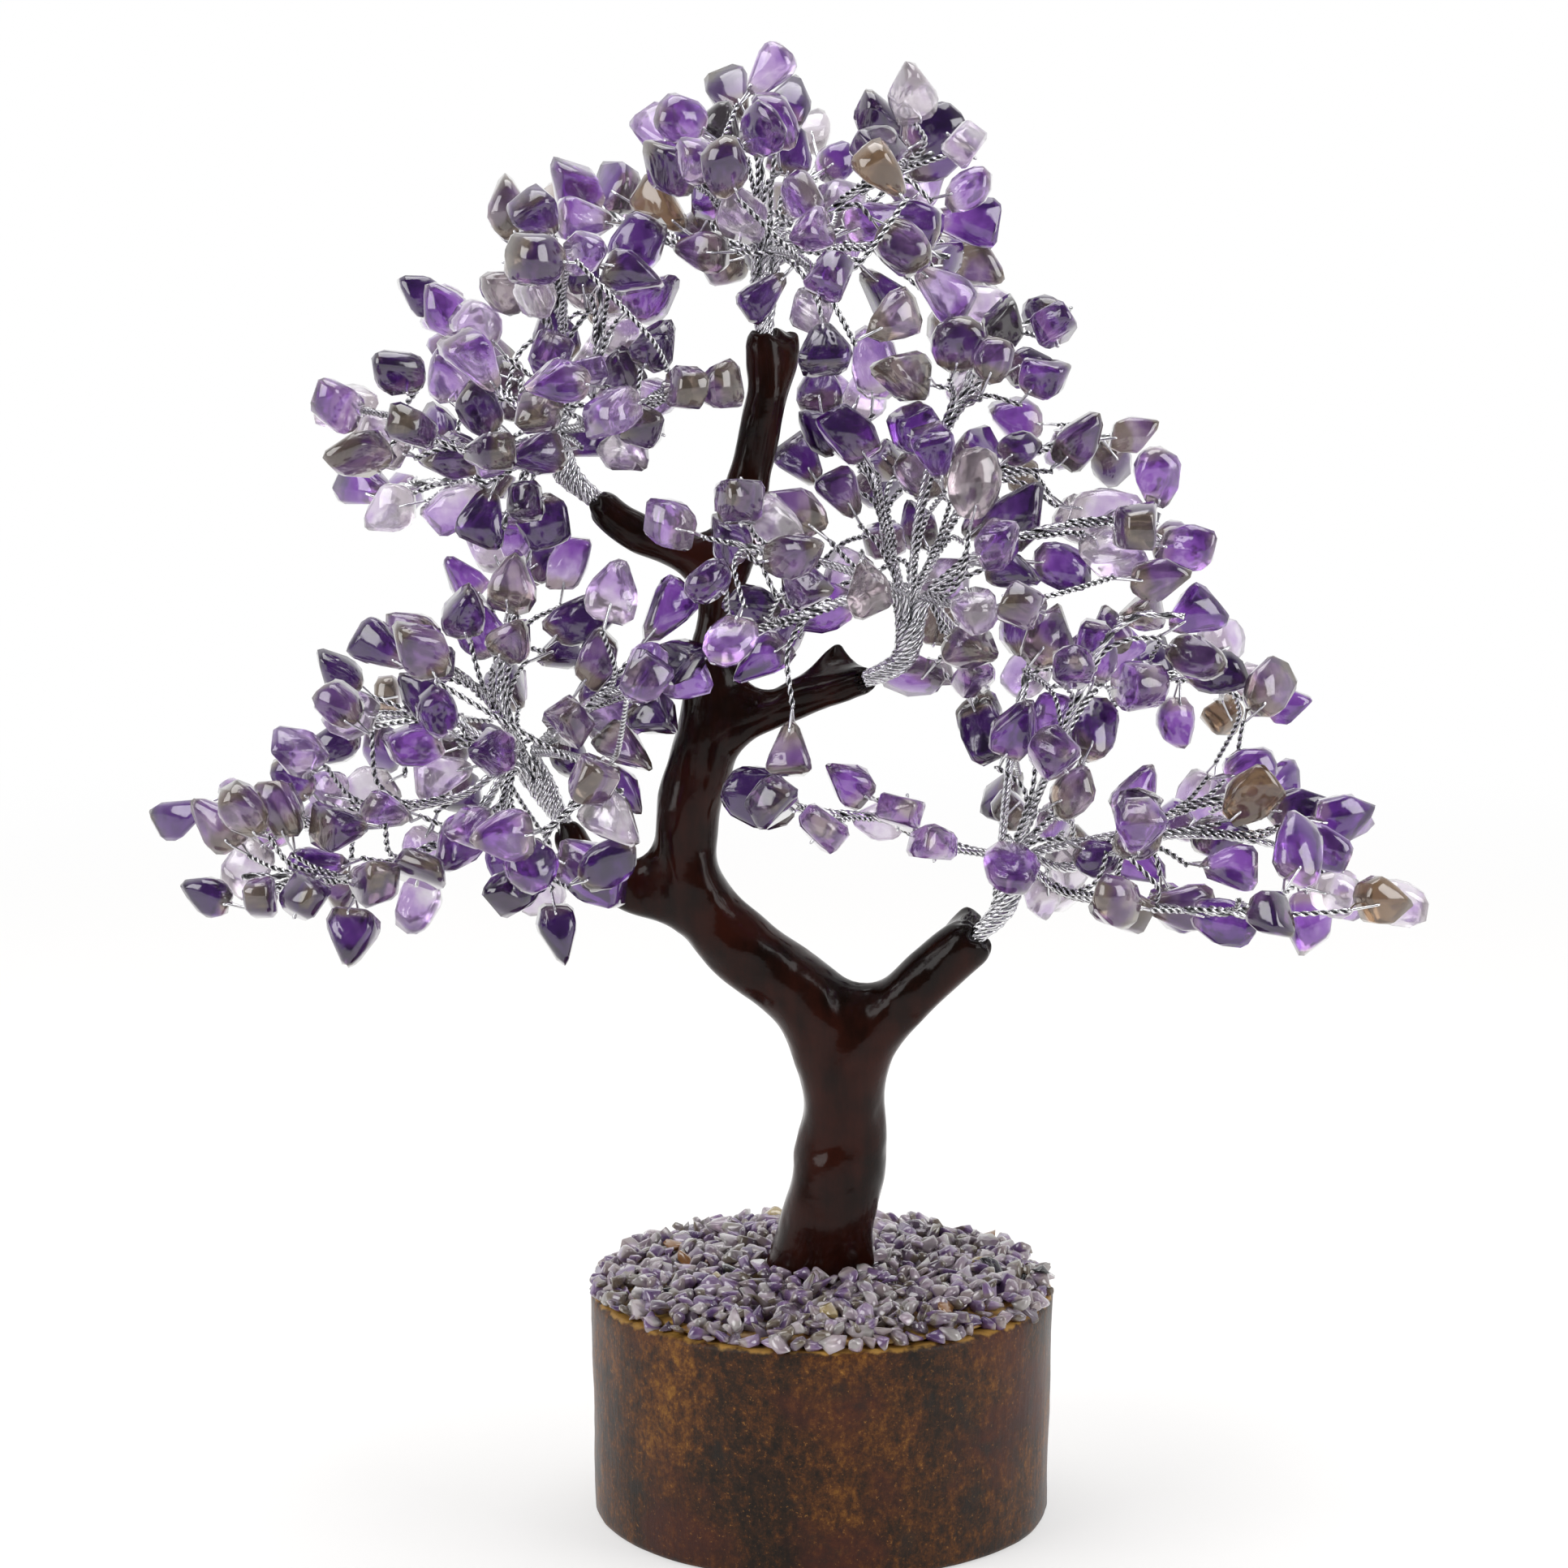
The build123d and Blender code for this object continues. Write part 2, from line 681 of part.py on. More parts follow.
def chip_shape():
    """A hull of four uneven rings: a blunt inner end, the belly near the hole, a shoulder and the outer end."""
    length = chip_length * random.uniform(*chip_length_shares)
    width = chip_width * random.uniform(*chip_width_shares)
    thickness = chip_thickness * random.uniform(*chip_thickness_shares)
    corners = stone_corners(width, thickness, length, chip_level_shares, chip_ring_counts)
    with BuildPart() as stone:
        ConvexPolyhedron([(x, y, z - hole_inset) for x, y, z in corners])
        with BuildSketch(Plane.YZ.offset(-width / 2 - cut_overrun)):
            RegularPolygon(hole_width / 2, wire_sides)
        extrude(amount=width + 2 * cut_overrun, mode=Mode.SUBTRACT)
    side = width / 2 + loop_side_gap + wire_diameter / 2
    bottom = -hole_inset - loop_reach
    half_loop = [(loop_leg_spacing / 2, bottom), (side, -loop_shoulder), (side, 0.0)]
    loop_points = [(x, 0.0, z) for x, z in half_loop] + [(-x, 0.0, z) for x, z in reversed(half_loop)]
    loop = wire([np.array(p) for p in loop_points], wire_diameter, wire_sides)
    return ChipShape(stone.part, loop, length, width)


# Finding room for every chip
class Room:
    """All that is placed so far, as balls, on the standing part and on each bough.

    A bough's balls are kept at each of its swings, so that a new twig and chip can be tried wherever
    the boughs may be bent to. Between boughs thin wires count as thicker, so that none is jumped over.
    """

    def __init__(self):
        bodies = ["trunk", *roots]
        self.turns = {"trunk": [np.eye(3)]}
        for name, root in roots.items():
            self.turns[name] = [turn_matrix(root.axis, swing_deg * share) for share in swing_shares]
        self.swung = {name: np.empty((len(self.turns[name]), 0, 3)) for name in bodies}
        self.centres = {name: np.empty((0, 3)) for name in bodies}
        self.radii = {name: np.empty(0) for name in bodies}

    def swings(self, name, centres):
        """The balls at each swing of their bough."""
        pivot = roots[name].pivot if name in roots else foot
        return np.array([(centres - pivot) @ turn.T + pivot for turn in self.turns[name]])

    def add(self, name, centres, radii):
        self.swung[name] = np.concatenate([self.swung[name], self.swings(name, centres)], axis=1)
        self.centres[name] = np.concatenate([self.centres[name], centres])
        self.radii[name] = np.concatenate([self.radii[name], radii])

    def gap(self, name, centres, radii):
        """The least gap between these balls of a bough and everything else, at any swing."""
        least = np.inf
        middle = centres.mean(axis=0)
        swung = self.swings(name, centres)
        for other, other_centres in self.centres.items():
            near = np.linalg.norm(other_centres - middle, axis=1) < near_reach
            if not near.any():
                continue
            theirs, their_radii = other_centres[near], self.radii[other][near]
            ours, our_radii = centres, radii
            if other != name:
                ours, our_radii = swung.reshape(-1, 3), np.tile(radii, len(swung))
            if other not in (name, "trunk"):
                theirs = self.swung[other][:, near].reshape(-1, 3)
                their_radii = np.tile(np.maximum(their_radii, crossing_radius), len(swing_shares))
                our_radii = np.maximum(our_radii, crossing_radius)
            squares = (ours**2).sum(axis=1)[:, None] + (theirs**2).sum(axis=1) - 2 * ours @ theirs.T
            apart = np.sqrt(np.maximum(squares, 0.0))
            least = min(least, (apart - our_radii[:, None] - their_radii).min())
        return least


room = Room()
for limb in limb_px:
    points, radii = limb_stations(limb)
    lengths = path_lengths(points)
    balls = samples(points, sample_spacing)
    room.add("trunk", balls, np.interp(path_lengths(balls), lengths, radii))


@dataclass
class Anchor:
    """A place on a strand where a twig can start, and the strand's direction there."""

    point: np.ndarray
    along: np.ndarray


def strand_anchors(paths):
    """Places along the strands, clear of the rope."""
    anchors = []
    for path in paths:
        for a, b in zip(path[2:-1], path[3:]):
            length = np.linalg.norm(b - a)
            along = (b - a) / length
            for reach in np.arange(strand_diameter, length - strand_diameter, strand_shoulder):
                anchors.append(Anchor(a + along * reach, along))
    return anchors


def grow(anchor, middle, shape, tilt):
    """A twig from the strand's surface to the chip, the chip's frame, and the balls that cover both."""
    outwards = unit(unit(middle - anchor.point) + tilt)
    end = middle - outwards * (shape.middle + shape.inner_end)
    sideways = end - anchor.point
    sideways = unit(sideways - anchor.along * (sideways @ anchor.along))
    start = anchor.point + sideways * (strand_diameter / 2 + twig_diameter / 2 + twig_seat_gap)
    reach = np.linalg.norm(end - start)
    elbow = start + unit(unit(end - start) + anchor.along * elbow_lean_share) * reach * elbow_place_share
    twig = [start, elbow, end]
    hole_way = unit(np.cross(outwards, to_front + anchor.along * hole_lean_share))
    hole = middle - outwards * shape.middle
    frame = Plane(origin=tuple(hole), x_dir=tuple(hole_way), z_dir=tuple(outwards))
    stone_radius = shape.width / 2 + loop_side_gap + wire_diameter
    slack = max(shape.length / 2 - stone_radius + corner_reach, 0.0)
    neck = hole - outwards * (hole_inset + loop_reach / 2)
    stone = np.vstack([middle - outwards * slack, middle, middle + outwards * slack, neck])
    stone_radii = np.array([stone_radius, stone_radius, stone_radius, loop_reach])
    rod = samples(twig, sample_spacing)
    rod_radii = np.full(len(rod), twig_diameter / 2)
    return twig, frame, (stone, stone_radii), (rod, rod_radii)


def seat_chip(bough, anchors, shape, pixel, depth):
    """Tries depths and starting places until a twig and its chip stand clear, and keeps the best of them.

    Beside its strand a twig has less room than elsewhere, so the gap there is weighed up.
    """
    tilt = random.normal(0.0, chip_tilt_share, 3)
    best = None
    for step in depth_tries:
        middle = place(pixel, depth + step * depth_step)
        ways = [middle - a.point for a in anchors]
        costs = [
            abs(np.linalg.norm(w) - twig_length) + twig_length / 2 * (1 - unit(w) @ a.along)
            for w, a in zip(ways, anchors)
        ]
        for n in np.argsort(costs)[:anchor_tries]:
            twig, frame, stone, rod = grow(anchors[n], middle, shape, tilt)
            free = np.linalg.norm(rod[0] - twig[0], axis=1) > twig_length / 4
            free[-1] = True
            gap = min(
                room.gap(bough.name, *stone),
                room.gap(bough.name, rod[0][free], rod[1][free]),
                room.gap(bough.name, rod[0][~free], rod[1][~free]) * start_gap_weight,
            )
            if best is None or gap > best[0]:
                best = gap, twig, frame, stone, rod
            if best[0] >= clearance:
                return best
    return best


chip_shapes = [chip_shape() for _ in range(chip_shape_count)]
strands = {bough.name: strand_paths(bough) for bough in boughs}
for bough in boughs:
    ropes_and_strands = [(rope_path(bough), rope_diameter)]
    ropes_and_strands += [(path, strand_diameter) for path in strands[bough.name]]
    for path, diameter in ropes_and_strands:
        balls = samples(path, sample_spacing)
        room.add(bough.name, balls, np.full(len(balls), diameter / 2))

anchors = {bough.name: strand_anchors(strands[bough.name]) for bough in boughs}
left_out = []


def hang_chip(bough, tone, pixel, depth, least_gap):
    """Hangs a chip on its loop and twig near this pixel and depth, unless there is too little room for them."""
    shape = chip_shapes[random.integers(chip_shape_count)]
    gap, twig, frame, stone, rod = seat_chip(bough, anchors[bough.name], shape, pixel, depth)
    if gap < least_gap:
        left_out.append((bough.name, pixel))
        return
    room.add(bough.name, *stone)
    room.add(bough.name, *rod)
    bough.chips[tone].append(frame.location * shape.solid)
    bough.loops.append(frame.location * shape.loop)
    bough.twigs.append(wire(twig, twig_diameter, twig_sides))


# First the chips that the picture shows, and then more of them beside the strands
for bough in boughs:
    bough.chips = {tone: [] for tone in tones}
    for tone in tones:
        for pixel in bough.chips_px[tone]:
            depths = [a.point[1] - foot[1] for a in anchors[bough.name]]
            misses = [np.linalg.norm(place(pixel, d) - a.point) for d, a in zip(depths, anchors[bough.name])]
            jitter = random.uniform(-depth_jitter, depth_jitter)
            hang_chip(bough, tone, pixel, depths[int(np.argmin(misses))] + jitter, tight_clearance)
for bough in boughs:
    for n, (pixels, path) in enumerate(zip(bough.strands_px, strands[bough.name])):
        for k, (pixel, knot) in enumerate(zip(pixels, path[-len(pixels):])):
            tone = tones[(n + k) % len(tones)]
            offset = side_chip_offsets[(n + k) % len(side_chip_offsets)]
            hang_chip(bough, tone, pixel, knot[1] - foot[1] + offset, clearance)
    export_piece(rope(bough), f"{bough.name}_rope")
    bundles = [wire(path, strand_diameter, strand_sides) for path in strands[bough.name]]
    export_group(bundles, f"{bough.name}_strands")
    export_group(bough.twigs, f"{bough.name}_twigs")
    export_group(bough.loops, f"{bough.name}_loops")
    for tone in tones:
        export_group(bough.chips[tone], f"{bough.name}_chips_{tone}")

for bough in boughs:
    root = roots[bough.name]
    count = sum(len(stones) for stones in bough.chips.values())
    print(f"{bough.name}: pivot {np.round(root.pivot, 3)}, axis {np.round(root.axis, 5)}, {count} chips")
print(f"chips left out for want of room: {left_out}")
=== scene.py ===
import json
import math
import random

import bmesh
import bpy
from mathutils import Matrix, Vector, geometry, kdtree, noise
from mathutils.bvhtree import BVHTree


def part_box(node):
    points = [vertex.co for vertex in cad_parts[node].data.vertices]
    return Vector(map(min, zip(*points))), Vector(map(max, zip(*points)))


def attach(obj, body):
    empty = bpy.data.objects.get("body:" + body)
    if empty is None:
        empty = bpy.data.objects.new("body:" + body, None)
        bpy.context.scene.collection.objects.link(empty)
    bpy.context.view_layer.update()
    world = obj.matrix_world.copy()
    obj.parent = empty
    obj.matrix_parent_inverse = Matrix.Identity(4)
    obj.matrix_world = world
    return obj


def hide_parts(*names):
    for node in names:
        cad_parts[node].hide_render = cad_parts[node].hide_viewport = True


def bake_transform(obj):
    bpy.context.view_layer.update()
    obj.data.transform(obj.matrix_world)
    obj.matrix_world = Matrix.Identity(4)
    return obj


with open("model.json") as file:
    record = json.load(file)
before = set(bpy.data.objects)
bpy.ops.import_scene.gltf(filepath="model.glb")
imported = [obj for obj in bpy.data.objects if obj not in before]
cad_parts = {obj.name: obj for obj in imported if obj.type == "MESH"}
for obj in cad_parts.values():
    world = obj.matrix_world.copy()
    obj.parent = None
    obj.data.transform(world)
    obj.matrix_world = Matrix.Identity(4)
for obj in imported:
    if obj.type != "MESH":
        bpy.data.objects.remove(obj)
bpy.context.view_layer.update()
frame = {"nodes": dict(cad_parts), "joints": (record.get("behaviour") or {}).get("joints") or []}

# Sizes, in metres
MM = 0.001
weld_reach = 0.001 * MM
turned_weld_reach = 0.01 * MM

# Wires
wire_sides = 6
wire_flat_angle = math.radians(0.5)
twisted_reach_radii = 4
loop_wire_radius = 0.24 * MM
loop_step = 0.5 * MM
loop_shares = (0.45, 0.7, 0.88, 1.0)
pair_sides = 5
pair_wire_radius = 0.27 * MM
pair_radius = 0.27 * MM
pair_lay = 2.9 * MM
pair_lay_shares = (0.8, 1.25)
pair_step = 0.36 * MM
strand_wire_radius = 0.40 * MM
strand_radius = 0.48 * MM
strand_tip_share = 0.6
strand_neck_share = 0.6
strand_neck_end_share = 0.16
strand_lay = 6.0 * MM
strand_step = 0.6 * MM
strand_end_shares = (1.0, 1.0, 0.8, 0.62)
rope_turn = 4.0
rope_neck_share = 0.45
rope_knots = 7
knuckle_reach = 3.15 * MM
mouth_depth = 3.0 * MM
peel_length = 7.0 * MM
short_peel_length = 1.5 * MM
peel_offset = 0.75 * MM
twig_overlap = 0.7 * MM
core_wire_radius = 0.5 * MM
core_radius = 0.6 * MM
core_lay = 9.0 * MM
core_step = 1.5 * MM
core_wire_count = 3
core_margin = 1.7 * MM

# All broken stones
corner_weld_reach = 0.3 * MM
facet_flat_angle = math.radians(3.0)
odd_stone_draws = (0.965, 0.97)

# Outlines of broken chips, from the drilled end to the far one, as shares of half the width and of the length
wedge = ((-0.35, 0.0), (0.30, 0.0), (1.0, 0.80), (0.72, 1.0), (-0.85, 0.96), (-1.0, 0.68))
tooth = ((-0.85, 0.06), (0.70, 0.0), (1.0, 0.34), (0.28, 1.0), (-0.18, 0.97), (-1.0, 0.42))
slab = ((-0.80, 0.0), (0.60, 0.06), (1.0, 0.50), (0.88, 1.0), (-0.55, 0.92), (-1.0, 0.45))
nugget = ((-0.50, 0.0), (0.50, 0.0), (1.0, 0.40), (0.75, 0.90), (0.0, 1.0), (-0.85, 0.85), (-1.0, 0.35))
splinter = ((-0.40, 0.0), (0.70, 0.10), (1.0, 0.45), (0.55, 1.0), (0.10, 0.92), (-1.0, 0.52), (-0.85, 0.20))
chip_outlines = (wedge, tooth, slab, nugget, splinter)
chip_swell = 1.40
chip_length_swell = 1.12
chip_thickness_swell = 1.12
chip_middle_share = 0.5
chip_face_shares = (0.70, 1.0)
chip_depth_shares = (0.72, 1.05)
chip_corner_jitter = 0.12
chip_lean = 0.7
chip_lean_middle_share = 0.4
chip_wear = 1.4 * MM
chip_tumble = 0.26
chip_ridge_angle = math.radians(15.0)
chip_reach = 10.0 * MM

# Trunk, with the mouths and ragged lips at the ends of its limbs
trunk_voxel = 0.7 * MM
trunk_fillet = 3.0 * MM
trunk_smooth_rounds = 14
tunnel_gap = 0.02 * MM
trunk_bump = 0.7 * MM
trunk_bump_size = 8.0 * MM
trunk_bump_seed = 3.0
trunk_pit = 0.3 * MM
trunk_pit_size = 4.0 * MM
trunk_pit_seed = 8.0
trunk_pit_level = 0.1
# How far from a limb's mouth the painted shade reaches
painted_mouth_shade_reach = 6.0 * MM
mouth_radius = 2.7 * MM
mouth_hollow = 2.2 * MM
lip_radius = 6.0 * MM
lip_length = 4.0 * MM
lip_draw = 1.1 * MM
lip_ragged = 1.3 * MM
lip_ragged_size = 2.5 * MM
lip_ragged_seed = 6.0
lip_ragged_level = 0.5

# Gravel, strewn in layers and along the rim. Its shape shares are for length, width and thickness
gravel_pitch = 3.0 * MM
gravel_scatter_share = 0.35
gravel_length = 5.3 * MM
gravel_size_shares = (0.75, 1.3)
gravel_shape_shares = ((0.75, 1.1), (0.55, 0.85), (0.35, 0.6))
gravel_tilt = 0.45
gravel_corners = 11
gravel_layer_height = 1.3 * MM
gravel_layer_edge_shares = (0.35, 0.8)
gravel_level_scatter = 0.3 * MM
gravel_seat = 0.9 * MM
gravel_overhang = 0.6 * MM
gravel_wear = 0.35 * MM
gravel_heap = 1.6 * MM
gravel_trunk_gap_share = 0.3
gravel_mix = {"violet": 9, "pale": 6, "smoky": 6}
rim_inset = 1.6 * MM
rim_scatter = 0.7 * MM
rim_pitch = 2.8 * MM
rim_pitch_scatter_share = 0.3

# Resin
resin_thickness = 1.3 * MM
resin_wobble = 0.9 * MM
resin_wobble_size = 5.0 * MM
resin_wobble_seed = 4.0
resin_inset = 1.2 * MM
resin_bulge_share = 0.3
resin_shoulder_share = 0.8
resin_flat_shares = (0.9, 0.5)
resin_still_share = 0.95
resin_steps = 120

# Wooden block
base_taper = 0.75 * MM
base_edge = 1.0 * MM
base_edge_round_share = 0.3
base_ledge = 3.0 * MM
base_inner_share = 0.5
base_still_share = 0.6
base_levels = 18
base_steps = 160
base_dent = 0.3 * MM
base_dent_size = 14.0 * MM
base_dent_seed = 5.0
base_small_dent = 0.105 * MM
base_small_dent_size = 3.5 * MM
base_small_dent_seed = 7.0
base_rim_ragged = 0.5 * MM
base_rim_ragged_size = 4.0 * MM
base_rim_ragged_seed = 2.0
bare_rim_ragged = 3.0 * MM
bare_rim_levels = (0.8 * MM, 1.5 * MM)

# Camera, lights and floor. The sensor and the lens are in millimetres
sensor_width = 36.0
camera_lens = 94.66
camera_place = (-6.6 * MM, -700.0 * MM, 241.0 * MM)
camera_tilt = math.radians(80.9)
tree_middle = (0.0, 0.0, 130.0 * MM)
room_front_level = -0.5
room_back_level = 0.35
room_front_light = 0.10
floor_size = 4.0
floor_reach = 0.9
floor_near_share = 0.25
floor_near_glow = 0.55

chance = random.Random(11)
bough_names = ("crown", "middle_left", "middle_right", "lower_left", "lower_right")
tone_names = ("dark", "violet", "pale", "smoky")
to_front = Vector((0.0, -1.0, 0.0))
white = (1.0, 1.0, 1.0, 1.0)


# Finishes
class Shade:
    """A value that changes over a surface: the output of a node, with arithmetic that adds Math nodes."""

    def __init__(self, nodes, socket):
        self.nodes = nodes
        self.socket = socket

    def reckon(self, operation, first, second):
        return self.nodes.node("ShaderNodeMath", {"operation": operation}, {0: first, 1: second})

    def __add__(self, other):
        return self.reckon("ADD", self, other)

    def __radd__(self, other):
        return self.reckon("ADD", other, self)

    def __sub__(self, other):
        return self.reckon("SUBTRACT", self, other)

    def __rsub__(self, other):
        return self.reckon("SUBTRACT", other, self)

    def __mul__(self, other):
        return self.reckon("MULTIPLY", self, other)

    def __rmul__(self, other):
        return self.reckon("MULTIPLY", other, self)


class Nodes:
    """A tree of shader nodes under way."""

    def __init__(self, tree):
        self.tree = tree

    def node(self, kind, settings=(), sockets=(), output=0):
        """Adds a node: first its settings, then the values or links of its sockets."""
        made = self.tree.nodes.new(kind)
        for key, value in dict(settings).items():
            if key == "stops":
                self.set_stops(made.color_ramp, value)
            else:
                setattr(made, key, value)
        for key, value in dict(sockets).items():
            self.connect(value, made.inputs[key])
        return Shade(self, made.outputs[output])

    def connect(self, value, socket):
        if isinstance(value, Shade):
            self.tree.links.new(value.socket, socket)
        else:
            socket.default_value = value

    def set_stops(self, ramp, stops):
        while len(ramp.elements) < len(stops):
            ramp.elements.new(1.0)
        for element, (position, colour) in zip(ramp.elements, stops):
            element.position = position
            element.color = (*colour, 1.0)

    def between(self, value, low, high, bottom=0.0, top=1.0):
        """The bottom below the low value, the top above the high one, and smooth in between."""
        return self.node(
            "ShaderNodeMapRange",
            {"interpolation_type": "SMOOTHSTEP"},
            {"Value": value, "From Min": low, "From Max": high, "To Min": bottom, "To Max": top},
        )


class Finish(Nodes):
    """A material under way, with its main shader and its object coordinates."""

    def __init__(self, name):
        self.material = bpy.data.materials.new(name)
        self.material.use_nodes = True
        super().__init__(self.material.node_tree)
        self.shader = self.tree.nodes["Principled BSDF"]
        self.place = self.node("ShaderNodeTexCoord", output="Object")

    def set(self, **values):
        """Sets sockets of the main shader, by their names with underscores."""
        for key, value in values.items():
            self.connect(value, self.shader.inputs[key.replace("_", " ")])

    def cloud(self, size, detail=3.0, roughness=0.55, stretch=(1.0, 1.0, 1.0), offset=(0.0, 0.0, 0.0)):
        """Soft noise with blotches of about this size, drawn out along an axis by its stretch."""
        scale = tuple(1.0 / (size * s) for s in stretch)
        place = self.node("ShaderNodeMapping", {}, {"Vector": self.place, "Scale": scale, "Location": offset})
        return self.node(
            "ShaderNodeTexNoise",
            {},
            {"Vector": place, "Scale": 1.0, "Detail": detail, "Roughness": roughness},
        )

    def attribute(self, name):
        return self.node("ShaderNodeAttribute", {"attribute_name": name}, output="Fac")

    def ramp(self, value, stops, interpolation="LINEAR"):
        made = self.node("ShaderNodeValToRGB", {"stops": stops}, {0: value})
        made.socket.node.color_ramp.interpolation = interpolation
        return made

    def mix(self, share, first, second):
        """One colour turning into another."""
        opaque = [c if isinstance(c, Shade) else (*c, 1.0) for c in (first, second)]
        sockets = {0: share, 6: opaque[0], 7: opaque[1]}
        return self.node("ShaderNodeMix", {"data_type": "RGBA"}, sockets, output=2)

    def bump(self, height, distance, strength):
        """Small unevenness of the surface, from a height that changes over it."""
        sockets = {"Height": height, "Distance": distance, "Strength": strength}
        self.set(Normal=self.node("ShaderNodeBump", {}, sockets))


def amethyst(name, pale, middle, deep, smoke, odd, zone_shift, smoke_level, clearness):
    """Polished quartz with cloudy zones from pale to deep violet, smoky ends, and a few odd stones."""
    finish = Finish(name)
    stone = finish.attribute("stone")
    zone = finish.attribute("zone")
    clouds = finish.cloud(5.0 * MM, detail=2.0)
    veils = finish.cloud(1.6 * MM, detail=4.0, stretch=(1.0, 1.0, 2.5))
    depth = zone * 0.35 + clouds + stone * 0.5 + veils * 0.35 + (zone_shift - 0.7)
    colour = finish.ramp(depth, ((0.1, pale), (0.42, middle), (0.72, deep)), "EASE")
    drift = finish.cloud(6.0 * MM, detail=2.0, offset=(2.3, 0.7, 5.1))
    from_core = zone - 0.6
    ends = from_core * from_core * 2.4
    smoky = finish.between(ends + drift * 0.9 - stone * 0.2 + smoke_level, 0.50, 0.72)
    colour = finish.mix(smoky * 0.9, colour, smoke)
    finish.set(
        Base_Color=finish.mix(finish.between(stone, *odd_stone_draws), colour, odd),
        Roughness=0.06 + 0.16 * finish.cloud(3.0 * MM),
        Transmission_Weight=clearness,
        IOR=1.54,
        Coat_Weight=1.0,
        Coat_Roughness=0.03,
    )
    finish.bump(finish.cloud(2.6 * MM, detail=2.0), 0.22 * MM, 0.6)
    return finish.material


def lacquer():
    """Thick glossy lacquer, near black with a red-brown body, and painted shade in black at the limbs'
    mouths.
    """
    finish = Finish("lacquer")
    # The mouth attribute carries painted shade: 1 at a limb's mouth, fading to 0 further out
    mouth = finish.attribute("mouth")
    patches = finish.cloud(14.0 * MM, detail=3.0)
    streaks = finish.cloud(3.0 * MM, detail=3.0, stretch=(1.0, 1.0, 5.0))
    warmth = finish.between(patches * 0.7 + streaks * 0.3, 0.36, 0.66)
    body = finish.mix(warmth, (0.007, 0.003, 0.002), (0.031, 0.007, 0.004))
    finish.set(
        # Painted shade: black where the hollow mouths of the limbs lie in shade
        Base_Color=finish.mix(mouth, body, (0.004, 0.003, 0.003)),
        Roughness=0.10 + 0.10 * finish.cloud(6.0 * MM),
        IOR=1.25,
    )
    finish.bump(finish.cloud(2.4 * MM, detail=2.0), 0.12 * MM, 0.6)
    return finish.material


def bright_wire():
    """Bright silver-coloured wire, duller in places, with painted shade where twisted wires face each other.
    """
    finish = Finish("bright_wire")
    tarnish = finish.between(finish.cloud(6.0 * MM, detail=4.0), 0.4, 0.75)
    colour = finish.mix(tarnish, (0.80, 0.80, 0.82), (0.54, 0.54, 0.57))
    # Painted shade: the sides of twisted wires that face each other are coloured near black, where shade
    # falls between the wires.
    groove = finish.between(finish.attribute("groove"), 0.15, 0.7)
    finish.set(
        Base_Color=finish.mix(groove, colour, (0.11, 0.11, 0.115)),
        Metallic=1.0,
        Roughness=0.08 + 0.12 * finish.cloud(1.5 * MM),
    )
    return finish.material


def stained_wood(top_height):
    """Mottled brown and rust stain over wood, with a ragged golden rim where the top edge was left bare."""
    finish = Finish("stained_wood")
    height = finish.node("ShaderNodeSeparateXYZ", {}, {0: finish.place}, output="Z")
    blotches = finish.cloud(17.0 * MM, detail=4.0, stretch=(1.0, 1.0, 1.6))
    mottle = finish.cloud(1.9 * MM, detail=8.0, roughness=0.78, stretch=(1.0, 1.0, 1.3))
    grain = finish.cloud(1.6 * MM, detail=5.0, roughness=0.65, stretch=(1.0, 1.0, 7.0))
    specks = finish.cloud(0.7 * MM, detail=4.0, roughness=0.8)
    tone = blotches * 0.45 + mottle * 0.75 + grain * 0.14 + specks * 0.34 - 0.35
    colour = finish.ramp(
        tone,
        (
            (0.36, (0.009, 0.005, 0.003)),
            (0.46, (0.028, 0.012, 0.005)),
            (0.54, (0.068, 0.023, 0.006)),
            (0.62, (0.140, 0.052, 0.009)),
            (0.74, (0.270, 0.125, 0.018)),
        ),
    )
    reds = finish.between(finish.cloud(22.0 * MM, detail=3.0, offset=(3.1, 1.7, 0.4)), 0.5, 0.68)
    colour = finish.mix(reds * 0.6, colour, (0.060, 0.014, 0.009))
    sooty = finish.between(finish.cloud(9.0 * MM, detail=5.0, offset=(0.6, 4.2, 2.0)), 0.56, 0.70)
    colour = finish.mix(sooty * 0.8, colour, (0.014, 0.011, 0.009))
    flecks = finish.between(specks, 0.61, 0.70)
    colour = finish.mix(flecks * 0.55, colour, (0.42, 0.19, 0.04))
    ragged = height + finish.cloud(3.0 * MM, detail=5.0) * bare_rim_ragged
    rim = finish.between(ragged, *[top_height + level for level in bare_rim_levels])
    gold = finish.mix(mottle, (0.20, 0.09, 0.02), (0.50, 0.29, 0.06))
    finish.set(
        Base_Color=finish.mix(rim, colour, gold),
        Roughness=0.36 + 0.3 * mottle,
        Specular_IOR_Level=0.18,
        Coat_Weight=0.3,
        Coat_IOR=1.2,
        Coat_Roughness=0.16,
    )
    finish.bump(mottle * 0.6 + grain * 0.7 + specks * 0.3, 0.35 * MM, 0.7)
    return finish.material


def golden_resin():
    """Hardened glue, amber and lumpy."""
    finish = Finish("golden_resin")
    lumps = finish.cloud(3.0 * MM, detail=4.0)
    finish.set(
        Base_Color=finish.mix(finish.between(lumps, 0.35, 0.7), (0.22, 0.10, 0.02), (0.60, 0.38, 0.10)),
        Roughness=0.25 + 0.3 * lumps,
        Coat_Weight=0.3,
    )
    finish.bump(lumps, 0.4 * MM, 0.8)
    return finish.material


